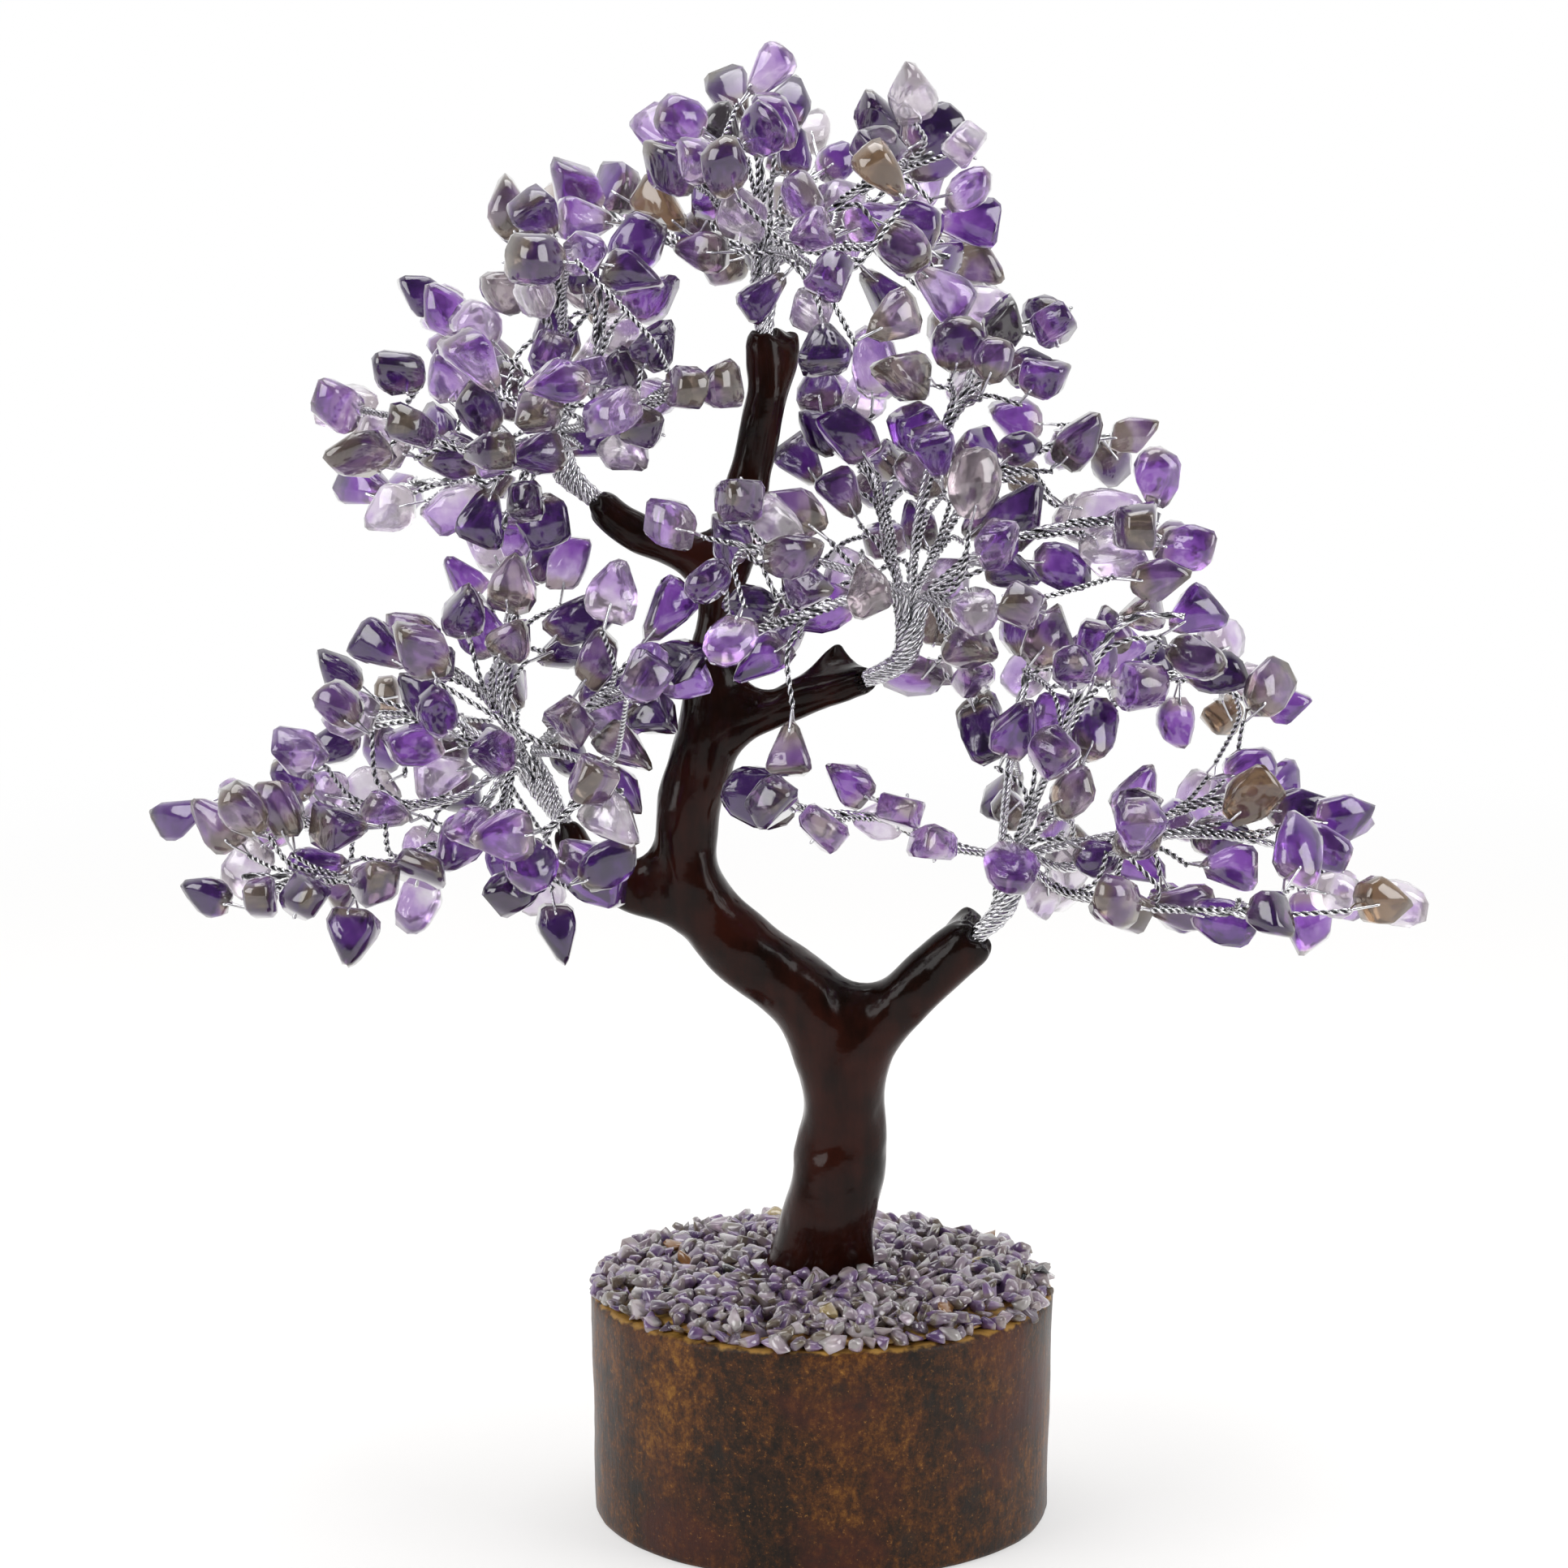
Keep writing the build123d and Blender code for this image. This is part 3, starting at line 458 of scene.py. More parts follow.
def white_floor(reach):
    """A white table top that keeps the shadow near the ornament and runs out into the white background."""
    finish = Finish("white_floor")
    seen = finish.node("ShaderNodeLightPath", output="Is Camera Ray")
    seen = seen + finish.node("ShaderNodeLightPath", output="Is Glossy Ray")
    seen = seen + finish.node("ShaderNodeLightPath", output="Is Transmission Ray")
    far = finish.node("ShaderNodeVectorMath", {"operation": "LENGTH"}, {0: finish.place}, output="Value")
    glow = finish.node("ShaderNodeEmission", {}, {"Color": white, "Strength": 1.0})
    share = finish.between(far, floor_near_share * reach, reach, floor_near_glow)
    clear = finish.node("ShaderNodeMath", {"operation": "MULTIPLY", "use_clamp": True}, {0: share, 1: seen})
    finish.set(Base_Color=(0.90, 0.88, 0.86, 1.0), Roughness=0.9)
    body = Shade(finish, finish.shader.outputs[0])
    mixed = finish.node("ShaderNodeMixShader", {}, {0: clear, 1: body, 2: glow})
    finish.connect(mixed, finish.tree.nodes["Material Output"].inputs["Surface"])
    return finish.material


# Making pieces
def as_mesh(name, shape):
    """The mesh of a finished shape, which is used up."""
    mesh = bpy.data.meshes.new(name)
    shape.to_mesh(mesh)
    shape.free()
    return mesh


def add_piece(name, mesh, material, node):
    """A finished, smooth piece with one material, which stands for a node. Its place is in its mesh."""
    piece = bpy.data.objects.new(name, mesh)
    bpy.context.scene.collection.objects.link(piece)
    mesh.materials.append(material)
    for polygon in mesh.polygons:
        polygon.use_smooth = True
    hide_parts(node)
    return piece


def merged_copy(*nodes):
    """The meshes of these nodes, with their loose triangles joined."""
    joined = bmesh.new()
    for node in nodes:
        joined.from_mesh(frame["nodes"][node].data)
    bmesh.ops.remove_doubles(joined, verts=joined.verts, dist=weld_reach)
    return joined


def loose_parts(joined):
    """The vertices of each separate solid of a mesh."""
    left = set(joined.verts)
    parts = []
    for seed in list(joined.verts):
        if seed not in left:
            continue
        left.discard(seed)
        part = [seed]
        for vertex in part:
            for edge in vertex.link_edges:
                other = edge.other_vert(vertex)
                if other in left:
                    left.discard(other)
                    part.append(other)
        parts.append(part)
    return parts


def mean(points):
    return sum(points, Vector()) / len(points)


def dent(point, size, seed):
    """Smooth noise from about -1 to 1, with dents of about this size."""
    return noise.noise(point / size + Vector((seed, -seed, 2.0 * seed)))


# Wires: their middle lines are read from the solids and drawn again as twisted wire
def middle_lines(node):
    """The middle line of each wire of a node: the middles of its rings, from one end cap to the other."""
    joined = merged_copy(node)
    bmesh.ops.dissolve_limit(joined, angle_limit=wire_flat_angle, verts=joined.verts, edges=joined.edges)
    lines = []
    for part in loose_parts(joined):
        # Kept in order, so that of two equal caps every run takes the same one
        faces = dict.fromkeys(face for vertex in part for face in vertex.link_faces)
        caps = [face for face in faces if all(len(v.link_edges) == 3 for v in face.verts)]
        ring = list(min(caps, key=lambda face: face.calc_area()).verts)
        walked = set(ring)
        line = []
        while ring:
            line.append(mean([v.co for v in ring]))
            following = [e.other_vert(v) for v in ring for e in v.link_edges]
            ring = [v for v in dict.fromkeys(following) if v not in walked]
            walked.update(ring)
        lines.append(line)
    joined.free()
    return lines


def smooth_line(points, step):
    """A smooth curve through the points, as closely spaced points.

    A short run beside a long one bends tightly.
    """
    count = len(points)
    runs = [(b - a).length for a, b in zip(points[:-1], points[1:])]
    handles = []
    for n in range(count):
        way = (points[min(n + 1, count - 1)] - points[max(n - 1, 0)]).normalized()
        handles.append(way * min(runs[max(n - 1, 0)], runs[min(n, count - 2)]) / 3)
    line = []
    for n, run in enumerate(runs):
        first, last = points[n], points[n + 1]
        pieces = max(2, math.ceil(run / step))
        bends = first + handles[n], last - handles[n + 1]
        line += geometry.interpolate_bezier(first, *bends, last, pieces + 1)[:-1]
    return line + [points[-1]]


def run_lengths(line):
    """How far along a line each of its points is."""
    lengths = [0.0]
    for first, last in zip(line[:-1], line[1:]):
        lengths.append(lengths[-1] + (last - first).length)
    return lengths


def side_ways(line):
    """A direction square to the line at each point, which turns no more than the line does."""
    ways = [(b - a).normalized() for a, b in zip(line[:-1], line[1:])]
    ways.append(ways[-1])
    side = ways[0].orthogonal().normalized()
    sides = []
    for before, way in zip(ways[:1] + ways[:-1], ways):
        side = before.rotation_difference(way) @ side
        sides.append((side, way.cross(side)))
    return sides


def wound(line, radius_at, lay, start_turn):
    """A wire wound around a line, once in each lay."""
    lengths = run_lengths(line)
    points = []
    for point, (side, over), length in zip(line, side_ways(line), lengths):
        turn = start_turn + 2 * math.pi * length / lay
        radius = radius_at(length / lengths[-1])
        points.append(point + (side * math.cos(turn) + over * math.sin(turn)) * radius)
    return points


def tubes(name, wires, radius, sides):
    """A mesh of round wires, each a line of points and the line that it winds around.

    The mesh keeps, for painted shade, how far each of its points faces that other line, if the line is close
    by.
    """
    points, faces, painted_gap_shades = [], [], []
    for line, around in wires:
        first = len(points)
        for n, (point, middle) in enumerate(zip(line, around)):
            way = (line[min(n + 1, len(line) - 1)] - line[max(n - 1, 0)]).normalized()
            outwards = point - middle
            twisted = outwards.length < twisted_reach_radii * radius
            outwards = (outwards - way * outwards.dot(way)).normalized()
            over = way.cross(outwards)
            for side in range(sides):
                angle = 2 * math.pi * side / sides
                points.append(point + (outwards * math.cos(angle) + over * math.sin(angle)) * radius)
                # Painted shade: a share from 0 on the outer side to 1 on the side that faces the wound-around
                # line.
                painted_gap_shades.append((1.0 - math.cos(angle)) / 2 if twisted else 0.0)
        for ring in range(first, len(points) - sides, sides):
            for side in range(sides):
                turn = (side + 1) % sides
                faces.append((ring + side, ring + turn, ring + sides + turn, ring + sides + side))
        faces.append(range(first + sides - 1, first - 1, -1))
        faces.append(range(len(points) - sides, len(points)))
    mesh = bpy.data.meshes.new(name)
    mesh.from_pydata(points, [], faces)
    mesh.attributes.new("groove", "FLOAT", "POINT").data.foreach_set("value", painted_gap_shades)
    return mesh


def strand_girth(share):
    """How far a strand's wires lie from its middle, less in the rope and towards the tip."""
    neck = strand_neck_share + (1.0 - strand_neck_share) * min(1.0, share / strand_neck_end_share)
    return strand_radius * neck * (1.0 - (1.0 - strand_tip_share) * share)


def pair_girth(share):
    """How far a twig's wires lie from its middle, the same all along."""
    return pair_radius


def core_girth(share):
    """How far a core's wires lie from its middle, the same all along."""
    return core_radius


class Bough:
    """One bough: its core in the trunk, its rope and strands, its twigs, and the chips on their loops."""

    def __init__(self, name, wire):
        self.name = name
        self.body = f"{name}_bough"
        self.wire = wire
        joint = next(j for j in frame["joints"] if j["child"] == self.body)
        self.pivot = Vector(joint["pos_m"])
        self.outwards = to_front.cross(Vector(joint["axis"])).normalized()
        self.mouth = self.pivot - self.outwards * knuckle_reach
        self.strands = [self.from_mouth(line) for line in middle_lines(f"{name}_strands")]
        self.rope_end = mean([line[0] for line in self.strands])
        self.rope_way = mean([(line[1] - line[0]).normalized() for line in self.strands]).normalized()
        self.seats = [self.seat(line) for line in middle_lines(f"{name}_loops")]
        self.smooth_strands = []
        self.loops = []

    def from_mouth(self, line):
        """A strand's line, turned so that it starts at the rope."""
        near_start = (line[0] - self.pivot).length < (line[-1] - self.pivot).length
        return line if near_start else line[::-1]

    def seat(self, loop):
        """The middle of a chip's hole, the way across the chip there, and the twig's tip below it."""
        first, last = max(zip(loop[:-1], loop[1:]), key=lambda run: (run[1] - run[0]).length)
        return (first + last) / 2, (last - first).normalized(), (loop[0] + loop[-1]) / 2

    def rope_lead(self, start):
        """Points of a strand inside the rope, winding out of the limb's mouth to the strand's own start."""
        offset = start - self.rope_end
        span = (self.rope_end - self.mouth).length / 2
        handles = self.mouth + self.outwards * span, self.rope_end - self.rope_way * span
        knots = geometry.interpolate_bezier(self.mouth, *handles, self.rope_end, rope_knots)
        knots = [self.mouth - self.outwards * mouth_depth] + knots[:-1]
        lead = []
        for n, knot in enumerate(knots):
            left = 1.0 - n / len(knots)
            way = self.rope_way.lerp(self.outwards, left).normalized()
            turn = Matrix.Rotation(-rope_turn * left, 3, way)
            spread = turn @ (self.rope_way.rotation_difference(way) @ offset)
            lead.append(knot + spread * (1.0 - (1.0 - rope_neck_share) * left))
        return lead

    def make_strands(self):
        """The rope bends at the limb's mouth, and the strands ride on the bough."""
        rope_lines = []
        strand_lines = []
        for strand in self.strands:
            line = smooth_line(self.rope_lead(strand[0]) + strand, strand_step)
            cut = min(range(len(line)), key=lambda n: (line[n] - strand[0]).length)
            self.smooth_strands.append(line[cut:])
            first_turn = chance.uniform(0.0, 2 * math.pi)
            for n, end_share in enumerate(strand_end_shares):
                turn = first_turn + 2 * math.pi * n / len(strand_end_shares)
                points = wound(line, strand_girth, strand_lay, turn)
                end = max(cut + 2, round(end_share * len(points)))
                rope_lines.append((points[: cut + 1], line[: cut + 1]))
                strand_lines.append((points[cut:end], line[cut:end]))
        rope = self.add_wires("rope_wires", rope_lines, strand_wire_radius, wire_sides, "rope")
        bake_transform(rope)
        strands = self.add_wires("strand_wires", strand_lines, strand_wire_radius, wire_sides, "strands")
        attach(strands, self.body)

    def add_wires(self, kind, lines, radius, sides, node):
        """A piece of wires, each with the line that it winds around, for one of the bough's nodes."""
        name = f"{self.name}_{kind}"
        return add_piece(name, tubes(name, lines, radius, sides), self.wire, f"{self.name}_{node}")

    def make_core(self, skin):
        """The gathered wires inside the trunk, well below its skin."""
        foot_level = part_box("trunk_coat")[0].z
        line = []
        for point in smooth_line(self.from_foot(middle_lines(f"{self.name}_core")[0]), core_step):
            near, normal, _, _ = skin.find_nearest(point)
            if point.z > foot_level and (near - point).dot(normal) < core_margin:
                point = near - normal * core_margin
            if (point - self.mouth).length > 2 * mouth_depth:
                line.append(point)
        turns = [2 * math.pi * n / core_wire_count for n in range(core_wire_count)]
        lines = [(wound(line, core_girth, core_lay, turn), line) for turn in turns]
        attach(self.add_wires("core_wires", lines, core_wire_radius, wire_sides, "core"), "trunk")

    def from_foot(self, line):
        """A core's line, turned so that it starts in the base."""
        return line if line[0].z < line[-1].z else line[::-1]

    def make_twigs(self):
        """A twisted pair for each chip. It peels off its strand and runs out to the chip."""
        places = [(s, n) for s, line in enumerate(self.smooth_strands) for n in range(len(line))]
        tree = kdtree.KDTree(len(places))
        for n, (s, at) in enumerate(places):
            tree.insert(self.smooth_strands[s][at], n)
        tree.balance()
        lines = []
        for knots in middle_lines(f"{self.name}_twigs"):
            if tree.find(knots[-1])[2] < tree.find(knots[0])[2]:
                knots = knots[::-1]
            _, found, _ = tree.find(knots[0])
            strand, at = places[found]
            line = self.smooth_strands[strand]
            lift = (knots[0] - line[at]).normalized() * peel_offset
            onwards = (knots[1] - knots[0]).dot(line[at] - line[max(at - 1, 0)]) > 0.0
            back_steps = round((peel_length if onwards else short_peel_length) / strand_step)
            peel = [line[max(at - back_steps * n // 2, 0)] + lift for n in (2, 1)]
            tip = knots[-1] + (knots[-1] - knots[-2]).normalized() * twig_overlap
            path = smooth_line(peel + knots[:-1] + [tip], pair_step)
            turn = chance.uniform(0.0, 2 * math.pi)
            lay = pair_lay * chance.uniform(*pair_lay_shares)
            for half in (0.0, math.pi):
                lines.append((wound(path, pair_girth, lay, turn + half), path))
        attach(self.add_wires("twig_wires", lines, pair_wire_radius, pair_sides, "twigs"), self.body)

    def make_chips(self, tone, material):
        """The drilled chips of one tone, and the line of the wire through each."""
        node = f"{self.name}_chips_{tone}"
        solids = merged_copy(node)
        stones = []
        for part in loose_parts(solids):
            points = [v.co.copy() for v in part]
            middle = mean(points)
            hole, across, tip = min(self.seats, key=lambda seat: (seat[0] - middle).length)
            outwards = middle - hole
            outwards = (outwards - across * outwards.dot(across)).normalized()
            flat = outwards.cross(across)
            stone = broken_chip(points, hole, across, flat, outwards)
            loop = smooth_line(loop_line(stone, hole, tip, flat), loop_step)
            self.loops.append((loop, [point - across for point in loop]))
            stones.append((stone, outwards))
        solids.free()
        name = f"{node}_stones"
        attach(add_piece(name, join_stones(name, stones), material, node), self.body)

    def make_loops(self):
        """The wires through all chips, which have been made before."""
        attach(self.add_wires("loop_wires", self.loops, loop_wire_radius, wire_sides, "loops"), self.body)


# Chips and gravel
def broken(points):
    """A stone with sharp ridges: the hull of its points."""
    stone = bmesh.new()
    corners = [stone.verts.new(p) for p in points]
    hull = bmesh.ops.convex_hull(stone, input=corners, use_existing_faces=False)
    inside = {v for v in hull["geom_interior"] + hull["geom_unused"] if isinstance(v, bmesh.types.BMVert)}
    bmesh.ops.delete(stone, geom=list(inside), context="VERTS")
    bmesh.ops.remove_doubles(stone, verts=stone.verts, dist=corner_weld_reach)
    bmesh.ops.dissolve_limit(stone, angle_limit=facet_flat_angle, verts=stone.verts, edges=stone.edges)
    bmesh.ops.recalc_face_normals(stone, faces=stone.faces)
    return stone


def smoothed(shape, rounds, factor=0.5):
    """Moves each point of a shape towards its neighbours, which rounds it off."""
    for _ in range(rounds):
        bmesh.ops.smooth_vert(
            shape, verts=shape.verts, factor=factor, use_axis_x=True, use_axis_y=True, use_axis_z=True
        )
    return shape


def worn(stone, ridges, wear):
    """Rounds off ridges of a stone."""
    bmesh.ops.bevel(
        stone,
        geom=ridges,
        offset=wear,
        affect="EDGES",
        segments=1,
        profile=0.5,
        material=-1,
        clamp_overlap=True,
    )
    return stone


def broken_chip(points, hole, across, flat, outwards):
    """A tumbled chip in the place of a plain one: a thick uneven slab of an outline, with worn ridges."""
    ways = [p - hole for p in points]
    width = chip_swell * max(abs(way.dot(across)) for way in ways)
    thickness = chip_thickness_swell * max(abs(way.dot(flat)) for way in ways)
    low = min(way.dot(outwards) for way in ways)
    length = chip_length_swell * max(way.dot(outwards) for way in ways) - low
    outline = chance.choice(chip_outlines)
    mirror = chance.choice((-1.0, 1.0))
    lean = chance.uniform(-chip_lean, chip_lean)
    corners = []
    for face in (-1.0, 1.0):
        shrink = chance.uniform(*chip_face_shares)
        for aside_share, along_share in outline:
            aside = mirror * shrink * (aside_share + chance.uniform(-chip_corner_jitter, chip_corner_jitter))
            along = chip_middle_share + shrink * (along_share - chip_middle_share)
            along += chance.uniform(-chip_corner_jitter, chip_corner_jitter) / 2
            slant = 1.0 + lean * (chip_lean_middle_share - along)
            depth = face * chance.uniform(*chip_depth_shares) * slant
            corner = hole + across * aside * width + flat * depth * thickness
            corners.append(corner + outwards * (low + along * length))
    stone = broken(corners)
    ridges = [edge for edge in stone.edges if edge.calc_face_angle(0.0) > chip_ridge_angle]
    return smoothed(worn(stone, ridges, chip_wear), 1, chip_tumble)


def loop_line(stone, hole, tip, flat):
    """A wire from the twig's tip over one flat side of a chip, through its hole and back over the other."""
    shape = BVHTree.FromBMesh(stone)
    sides = []
    for face in (flat, -flat):
        side = [tip + face * loop_wire_radius]
        for share in loop_shares:
            found = shape.ray_cast(tip.lerp(hole, share) + face * chip_reach, -face)[0]
            if found:
                side.append(found + face * loop_wire_radius)
        sides.append(side)
    return sides[0] + [hole] + sides[1][::-1]


def join_stones(name, stones):
    """One mesh of many stones. It keeps a draw for each stone, and how far along its stone each point is."""
    group = bmesh.new()
    draws = []
    zones = []
    for stone, way in stones:
        reach = [v.co @ way for v in stone.verts]
        low, high = min(reach), max(reach)
        draw = chance.random()
        draws += [draw] * len(reach)
        zones += [(r - low) / (high - low) for r in reach]
        single = as_mesh("single_stone", stone)
        group.from_mesh(single)
        bpy.data.meshes.remove(single)
    mesh = as_mesh(name, group)
    mesh.attributes.new("stone", "FLOAT", "POINT").data.foreach_set("value", draws)
    mesh.attributes.new("zone", "FLOAT", "POINT").data.foreach_set("value", zones)
    return mesh


def pebble(place):
    """A worn bit of gravel, lying askew."""
    roll, pitch = [Matrix.Rotation(chance.gauss(0.0, gravel_tilt), 3, axis) for axis in "XY"]
    turn = Matrix.Rotation(chance.uniform(0.0, 2 * math.pi), 3, "Z") @ (roll @ pitch)
    shape = Vector([chance.uniform(*shares) for shares in gravel_shape_shares])
    shape *= gravel_length / 2 * chance.uniform(*gravel_size_shares)
    points = []
    for _ in range(gravel_corners):
        way = Vector([chance.gauss(0.0, 1.0) for _ in range(3)]).normalized()
        points.append(place + turn @ (way * shape))
    stone = broken(points)
    return worn(stone, stone.edges, gravel_wear), turn @ Vector((1.0, 0.0, 0.0))


def gravel_places():
    """Places strewn over the resin in layers, with a low heap round the trunk, and along the rim."""
    low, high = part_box("glue_bed")
    reach = (high.x - low.x) / 2 + gravel_overhang
    rows = math.ceil(reach / gravel_pitch)
    scatter = gravel_scatter_share
    places = []
    for layer, edge_share in enumerate(gravel_layer_edge_shares):
        for row in range(-rows, rows + 1):
            for cell in range(-rows, rows + 1):
                x = (cell + (row + layer) % 2 / 2 + chance.uniform(-scatter, scatter)) * gravel_pitch
                y = (row + chance.uniform(-scatter, scatter)) * gravel_pitch
                out = math.hypot(x, y)
                edge = reach - chance.uniform(0.0, 1.0) * gravel_length * edge_share
                rise = gravel_heap * max(0.0, 1.0 - out / reach) + gravel_layer_height
                level = high.z + gravel_seat + layer * rise
                z = level + chance.uniform(-gravel_level_scatter, gravel_level_scatter)
                if out < edge:
                    places.append(Vector((x, y, z)))
    base_low, base_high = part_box("wood_base")
    rim_radius = (base_high.x - base_low.x) / 2 - rim_inset
    rim_count = round(2 * math.pi * rim_radius / rim_pitch)
    scatter = rim_pitch_scatter_share
    for n in range(rim_count):
        angle = 2 * math.pi * (n + chance.uniform(-scatter, scatter)) / rim_count
        radius = rim_radius + chance.uniform(-1.0, 1.0) * rim_scatter
        places.append(Vector((radius * math.cos(angle), radius * math.sin(angle), base_high.z + gravel_seat)))
    return places


def make_gravel(materials, skin):
    """Gravel of three tones around the trunk's foot."""
    stones = {tone: [] for tone in materials}
    tones = [tone for tone, parts in gravel_mix.items() for _ in range(parts)]
    for place in gravel_places():
        if not skin.find_nearest(place, gravel_length * gravel_trunk_gap_share)[0]:
            stones[chance.choice(tones)].append(pebble(place))
    for tone, group in stones.items():
        node = f"gravel_{tone}"
        name = f"{node}_stones"
        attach(add_piece(name, join_stones(name, group), materials[tone], node), "trunk")


# Trunk, base and resin
def mouth_push(point, bough):
    """How a point of the trunk moves to round a limb's end, and to hollow out its mouth around the rope."""
    from_mouth = point - bough.mouth
    along = from_mouth.dot(bough.outwards)
    aside = from_mouth - bough.outwards * along
    push = Vector()
    if abs(along) < lip_length and aside.length < lip_radius:
        end_share = min(1.0, 1.0 + along / lip_length)
        push -= aside.normalized() * lip_draw * end_share**2
        ragged = lip_ragged_level + dent(point, lip_ragged_size, lip_ragged_seed)
        push -= bough.outwards * lip_ragged * end_share * ragged
    if abs(along) < mouth_radius and aside.length < mouth_radius:
        push -= bough.outwards * mouth_hollow * (1.0 - (aside.length / mouth_radius) ** 2)
    return push


def outer_skin(solid):
    """One even mesh around overlapping shells, which are used up."""
    mesh = as_mesh("shells", solid)
    holder = bpy.data.objects.new("shells", mesh)
    bpy.context.scene.collection.objects.link(holder)
    remesh = holder.modifiers.new("remesh", "REMESH")
    remesh.mode = "VOXEL"
    remesh.voxel_size = trunk_voxel
    remeshed = holder.evaluated_get(bpy.context.evaluated_depsgraph_get())
    shape = bpy.data.meshes.new_from_object(remeshed)
    skin = bmesh.new()
    skin.from_mesh(shape)
    bpy.data.objects.remove(holder)
    bpy.data.meshes.remove(mesh)
    bpy.data.meshes.remove(shape)
    return skin


def swell(shape, reach):
    """Moves a shape's surface outwards, or inwards if the reach is below zero."""
    shape.normal_update()
    for place, normal in [(vertex, vertex.normal.copy()) for vertex in shape.verts]:
        place.co += normal * reach


def make_trunk(material, boughs):
    """One smooth lacquered skin over all limbs, with the drips and dents of thick lacquer.

    The skin is swollen and drawn in again, which fills the forks.
    """
    solid = merged_copy("trunk_coat")
    wires = merged_copy(*[f"{name}_core" for name in bough_names])
    inner = BVHTree.FromBMesh(wires)
    tunnels = [f for f in solid.faces if inner.find_nearest(f.calc_center_median(), tunnel_gap)[0]]
    bmesh.ops.delete(solid, geom=tunnels, context="FACES")
    bmesh.ops.holes_fill(solid, edges=[e for e in solid.edges if e.is_boundary])
    wires.free()
    thick = smoothed(outer_skin(solid), trunk_smooth_rounds)
    swell(thick, trunk_fillet)
    skin = smoothed(outer_skin(thick), trunk_smooth_rounds)
    swell(skin, -trunk_fillet)
    smoothed(skin, trunk_smooth_rounds)
    skin.normal_update()
    foot_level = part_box("trunk_coat")[0].z
    painted_mouth_shade = []
    moves = []
    for vertex in skin.verts:
        bump = trunk_bump * dent(vertex.co, trunk_bump_size, trunk_bump_seed)
        pit = trunk_pit * min(0.0, dent(vertex.co, trunk_pit_size, trunk_pit_seed) + trunk_pit_level)
        hollow = sum((mouth_push(vertex.co, bough) for bough in boughs), Vector())
        moves.append(vertex.normal * (bump + pit) + hollow)
        # Painted shade: a share from 1 at the nearest limb's mouth to 0 at its reach, kept as the mouth
        # attribute
        nearest = min((vertex.co - bough.mouth).length for bough in boughs)
        painted_mouth_shade.append(max(0.0, 1.0 - nearest / painted_mouth_shade_reach))
    for vertex, move in zip(skin.verts, moves):
        vertex.co += move
        vertex.co.z = max(vertex.co.z, foot_level)
    mesh = as_mesh("trunk_skin", skin)
    mesh.attributes.new("mouth", "FLOAT", "POINT").data.foreach_set("value", painted_mouth_shade)
    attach(add_piece("trunk_skin", mesh, material, "trunk_coat"), "trunk")


def turned(profile, steps):
    """A closed solid turned about Z from a profile of radii and heights that starts and ends on the axis."""
    work = bmesh.new()
    verts = [work.verts.new((radius, 0.0, height)) for radius, height in profile]
    edges = [work.edges.new(pair) for pair in zip(verts[:-1], verts[1:])]
    bmesh.ops.spin(
        work,
        geom=verts + edges,
        cent=(0.0, 0.0, 0.0),
        axis=(0.0, 0.0, 1.0),
        angle=2 * math.pi,
        steps=steps,
        use_merge=True,
    )
    bmesh.ops.remove_doubles(work, verts=work.verts, dist=turned_weld_reach)
    bmesh.ops.recalc_face_normals(work, faces=work.faces)
    return work


def make_base(material):
    """The wooden block: slightly out of round, with dents and a ragged top edge."""
    low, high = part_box("wood_base")
    height = high.z
    top_radius = (high.x - low.x) / 2
    foot_radius = top_radius - base_taper
    edge_round = base_edge * base_edge_round_share
    profile = [(0.0, 0.0), (foot_radius * base_inner_share, 0.0), (foot_radius - base_edge, 0.0)]
    profile.append((foot_radius - edge_round, edge_round))
    for n in range(base_levels + 1):
        share = n / base_levels
        radius = foot_radius + (top_radius - foot_radius) * share
        profile.append((radius, base_edge + (height - 2 * base_edge) * share))
    profile += [(top_radius - edge_round, height - edge_round), (top_radius - base_edge, height)]
    profile += [(top_radius - base_ledge, height), (top_radius * base_inner_share, height), (0.0, height)]
    block = turned(profile, base_steps)
    for vertex in block.verts:
        out = Vector((vertex.co.x, vertex.co.y, 0.0))
        if out.length < foot_radius * base_still_share:
            continue
        push = base_dent * dent(vertex.co, base_dent_size, base_dent_seed)
        push += base_small_dent * dent(vertex.co, base_small_dent_size, base_small_dent_seed)
        vertex.co += out.normalized() * push
        if vertex.co.z > height - 2 * base_edge:
            vertex.co.z -= base_rim_ragged * abs(dent(vertex.co, base_rim_ragged_size, base_rim_ragged_seed))
    mesh = as_mesh("wood_block", block)
    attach(add_piece("wood_block", mesh, material, "wood_base"), "trunk")


def make_resin(material):
    """The glue that holds the gravel: a thin lumpy disc that runs unevenly towards the rim."""
    low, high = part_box("glue_bed")
    radius = (high.x - low.x) / 2 - resin_inset
    top = low.z + resin_thickness
    profile = [(0.0, low.z), (radius, low.z)]
    profile.append((radius + resin_wobble, low.z + resin_thickness * resin_bulge_share))
    profile.append((radius, low.z + resin_thickness * resin_shoulder_share))
    profile += [(radius * share, top) for share in resin_flat_shares]
    profile.append((0.0, top))
    disc = turned(profile, resin_steps)
    for vertex in disc.verts:
        out = Vector((vertex.co.x, vertex.co.y, 0.0))
        if out.length > radius * resin_still_share:
            wobble = resin_wobble * dent(vertex.co, resin_wobble_size, resin_wobble_seed)
            vertex.co += out.normalized() * wobble
    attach(add_piece("resin_bed", as_mesh("resin_bed", disc), material, "glue_bed"), "trunk")


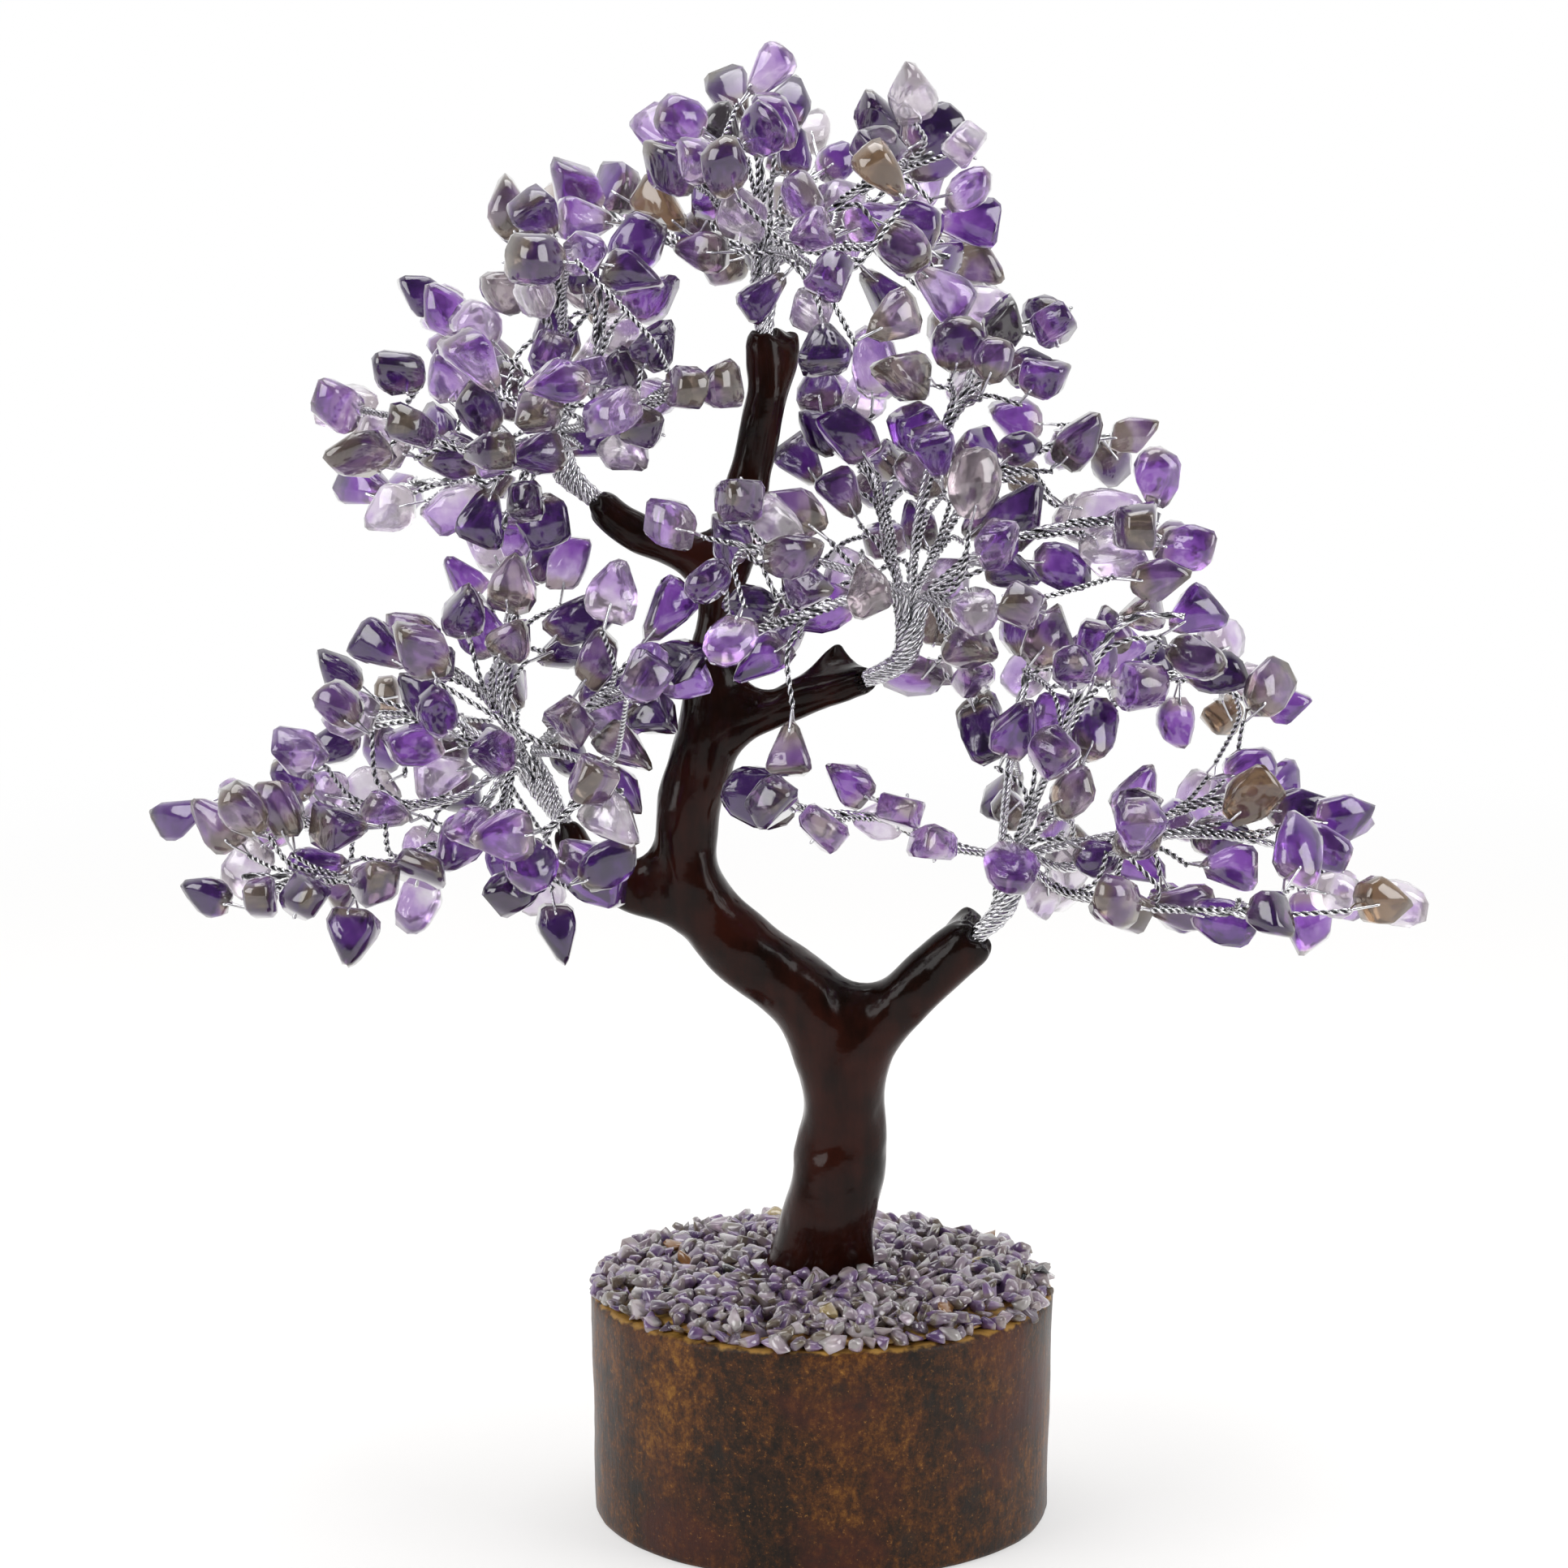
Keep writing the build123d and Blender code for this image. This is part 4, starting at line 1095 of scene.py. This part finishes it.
# The ornament
wire_finish = bright_wire()
olive_smoke = (0.21, 0.165, 0.11)
grey_smoke = (0.42, 0.345, 0.33)
amber = (0.27, 0.17, 0.10)
amethysts = {
    "dark": amethyst(
        "amethyst_dark",
        pale=(0.30, 0.16, 0.52),
        middle=(0.115, 0.033, 0.24),
        deep=(0.040, 0.010, 0.095),
        smoke=olive_smoke,
        odd=(0.06, 0.05, 0.06),
        zone_shift=0.20,
        smoke_level=-0.12,
        clearness=0.75,
    ),
    "violet": amethyst(
        "amethyst_violet",
        pale=(0.66, 0.50, 0.82),
        middle=(0.29, 0.10, 0.51),
        deep=(0.10, 0.022, 0.23),
        smoke=grey_smoke,
        odd=(0.42, 0.35, 0.38),
        zone_shift=0.05,
        smoke_level=-0.12,
        clearness=0.82,
    ),
    "pale": amethyst(
        "amethyst_pale",
        pale=(0.90, 0.84, 0.92),
        middle=(0.60, 0.41, 0.76),
        deep=(0.24, 0.09, 0.47),
        smoke=(0.52, 0.46, 0.48),
        odd=(0.62, 0.54, 0.50),
        zone_shift=-0.08,
        smoke_level=-0.08,
        clearness=0.8,
    ),
    "smoky": amethyst(
        "amethyst_smoky",
        pale=(0.52, 0.42, 0.50),
        middle=(0.20, 0.095, 0.30),
        deep=(0.065, 0.022, 0.13),
        smoke=olive_smoke,
        odd=amber,
        zone_shift=0.06,
        smoke_level=0.06,
        clearness=0.75,
    ),
}
gravels = {
    "violet": amethyst(
        "gravel_violet",
        pale=(0.51, 0.39, 0.55),
        middle=(0.28, 0.17, 0.36),
        deep=(0.13, 0.07, 0.20),
        smoke=grey_smoke,
        odd=(0.03, 0.03, 0.035),
        zone_shift=0.0,
        smoke_level=0.05,
        clearness=0.4,
    ),
    "pale": amethyst(
        "gravel_pale",
        pale=(0.73, 0.65, 0.68),
        middle=(0.54, 0.43, 0.51),
        deep=(0.36, 0.27, 0.40),
        smoke=(0.55, 0.52, 0.50),
        odd=(0.62, 0.48, 0.22),
        zone_shift=-0.1,
        smoke_level=0.0,
        clearness=0.5,
    ),
    "smoky": amethyst(
        "gravel_smoky",
        pale=(0.48, 0.42, 0.44),
        middle=(0.27, 0.20, 0.27),
        deep=(0.14, 0.10, 0.15),
        smoke=olive_smoke,
        odd=(0.42, 0.20, 0.07),
        zone_shift=0.0,
        smoke_level=0.1,
        clearness=0.4,
    ),
}
boughs = [Bough(name, wire_finish) for name in bough_names]
make_trunk(lacquer(), boughs)
make_base(stained_wood(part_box("wood_base")[1].z))
make_resin(golden_resin())
trunk_skin = BVHTree.FromObject(bpy.data.objects["trunk_skin"], bpy.context.evaluated_depsgraph_get())
make_gravel(gravels, trunk_skin)
for bough in boughs:
    bough.make_core(trunk_skin)
    bough.make_strands()
    bough.make_twigs()
    for tone in tone_names:
        bough.make_chips(tone, amethysts[tone])
    bough.make_loops()

# Camera, lights and floor
scene = bpy.context.scene
scene.view_settings.view_transform = "Standard"

camera_data = bpy.data.cameras.new("camera")
camera_data.sensor_width = sensor_width
camera_data.lens = camera_lens
camera = bpy.data.objects.new("camera", camera_data)
camera.location = camera_place
camera.rotation_euler = (camera_tilt, 0.0, 0.0)
scene.collection.objects.link(camera)
scene.camera = camera


def softbox(name, place, size, power):
    """A soft light aimed at the middle of the tree."""
    light = bpy.data.lights.new(name, "AREA")
    light.shape = "RECTANGLE"
    light.size, light.size_y = size
    light.energy = power
    box = bpy.data.objects.new(name, light)
    box.location = place
    box.rotation_euler = (Vector(tree_middle) - Vector(place)).to_track_quat("-Z", "Y").to_euler()
    scene.collection.objects.link(box)


softbox("left_box", place=(-0.8, -0.55, 0.55), size=(0.7, 0.7), power=6.5)
softbox("right_box", place=(0.85, -0.45, 0.45), size=(0.5, 0.7), power=5.0)
softbox("top_box", place=(0.0, 0.05, 0.95), size=(0.7, 0.7), power=5.0)

# A white room that is dim in front of the tree, so that wires and lacquer have something dark to mirror
world = bpy.data.worlds.new("white_room")
scene.world = world
world.use_nodes = True
room = Nodes(world.node_tree)
room_way = room.node("ShaderNodeTexCoord", output="Generated")
room_depth = room.node("ShaderNodeSeparateXYZ", {}, {0: room_way}, output="Y")
room_light = room.between(room_depth, room_front_level, room_back_level, room_front_light)
seen_by_camera = room.node("ShaderNodeLightPath", output="Is Camera Ray")
room_strength = room.node("ShaderNodeMix", {}, {0: seen_by_camera, 2: room_light, 3: 1.0})
background = room.tree.nodes["Background"]
room.connect(white, background.inputs["Color"])
room.connect(room_strength, background.inputs["Strength"])

floor_shape = bmesh.new()
bmesh.ops.create_grid(floor_shape, x_segments=2, y_segments=2, size=floor_size)
floor_mesh = as_mesh("floor", floor_shape)
floor_mesh.materials.append(white_floor(floor_reach))
floor = bpy.data.objects.new("floor", floor_mesh)
scene.collection.objects.link(floor)
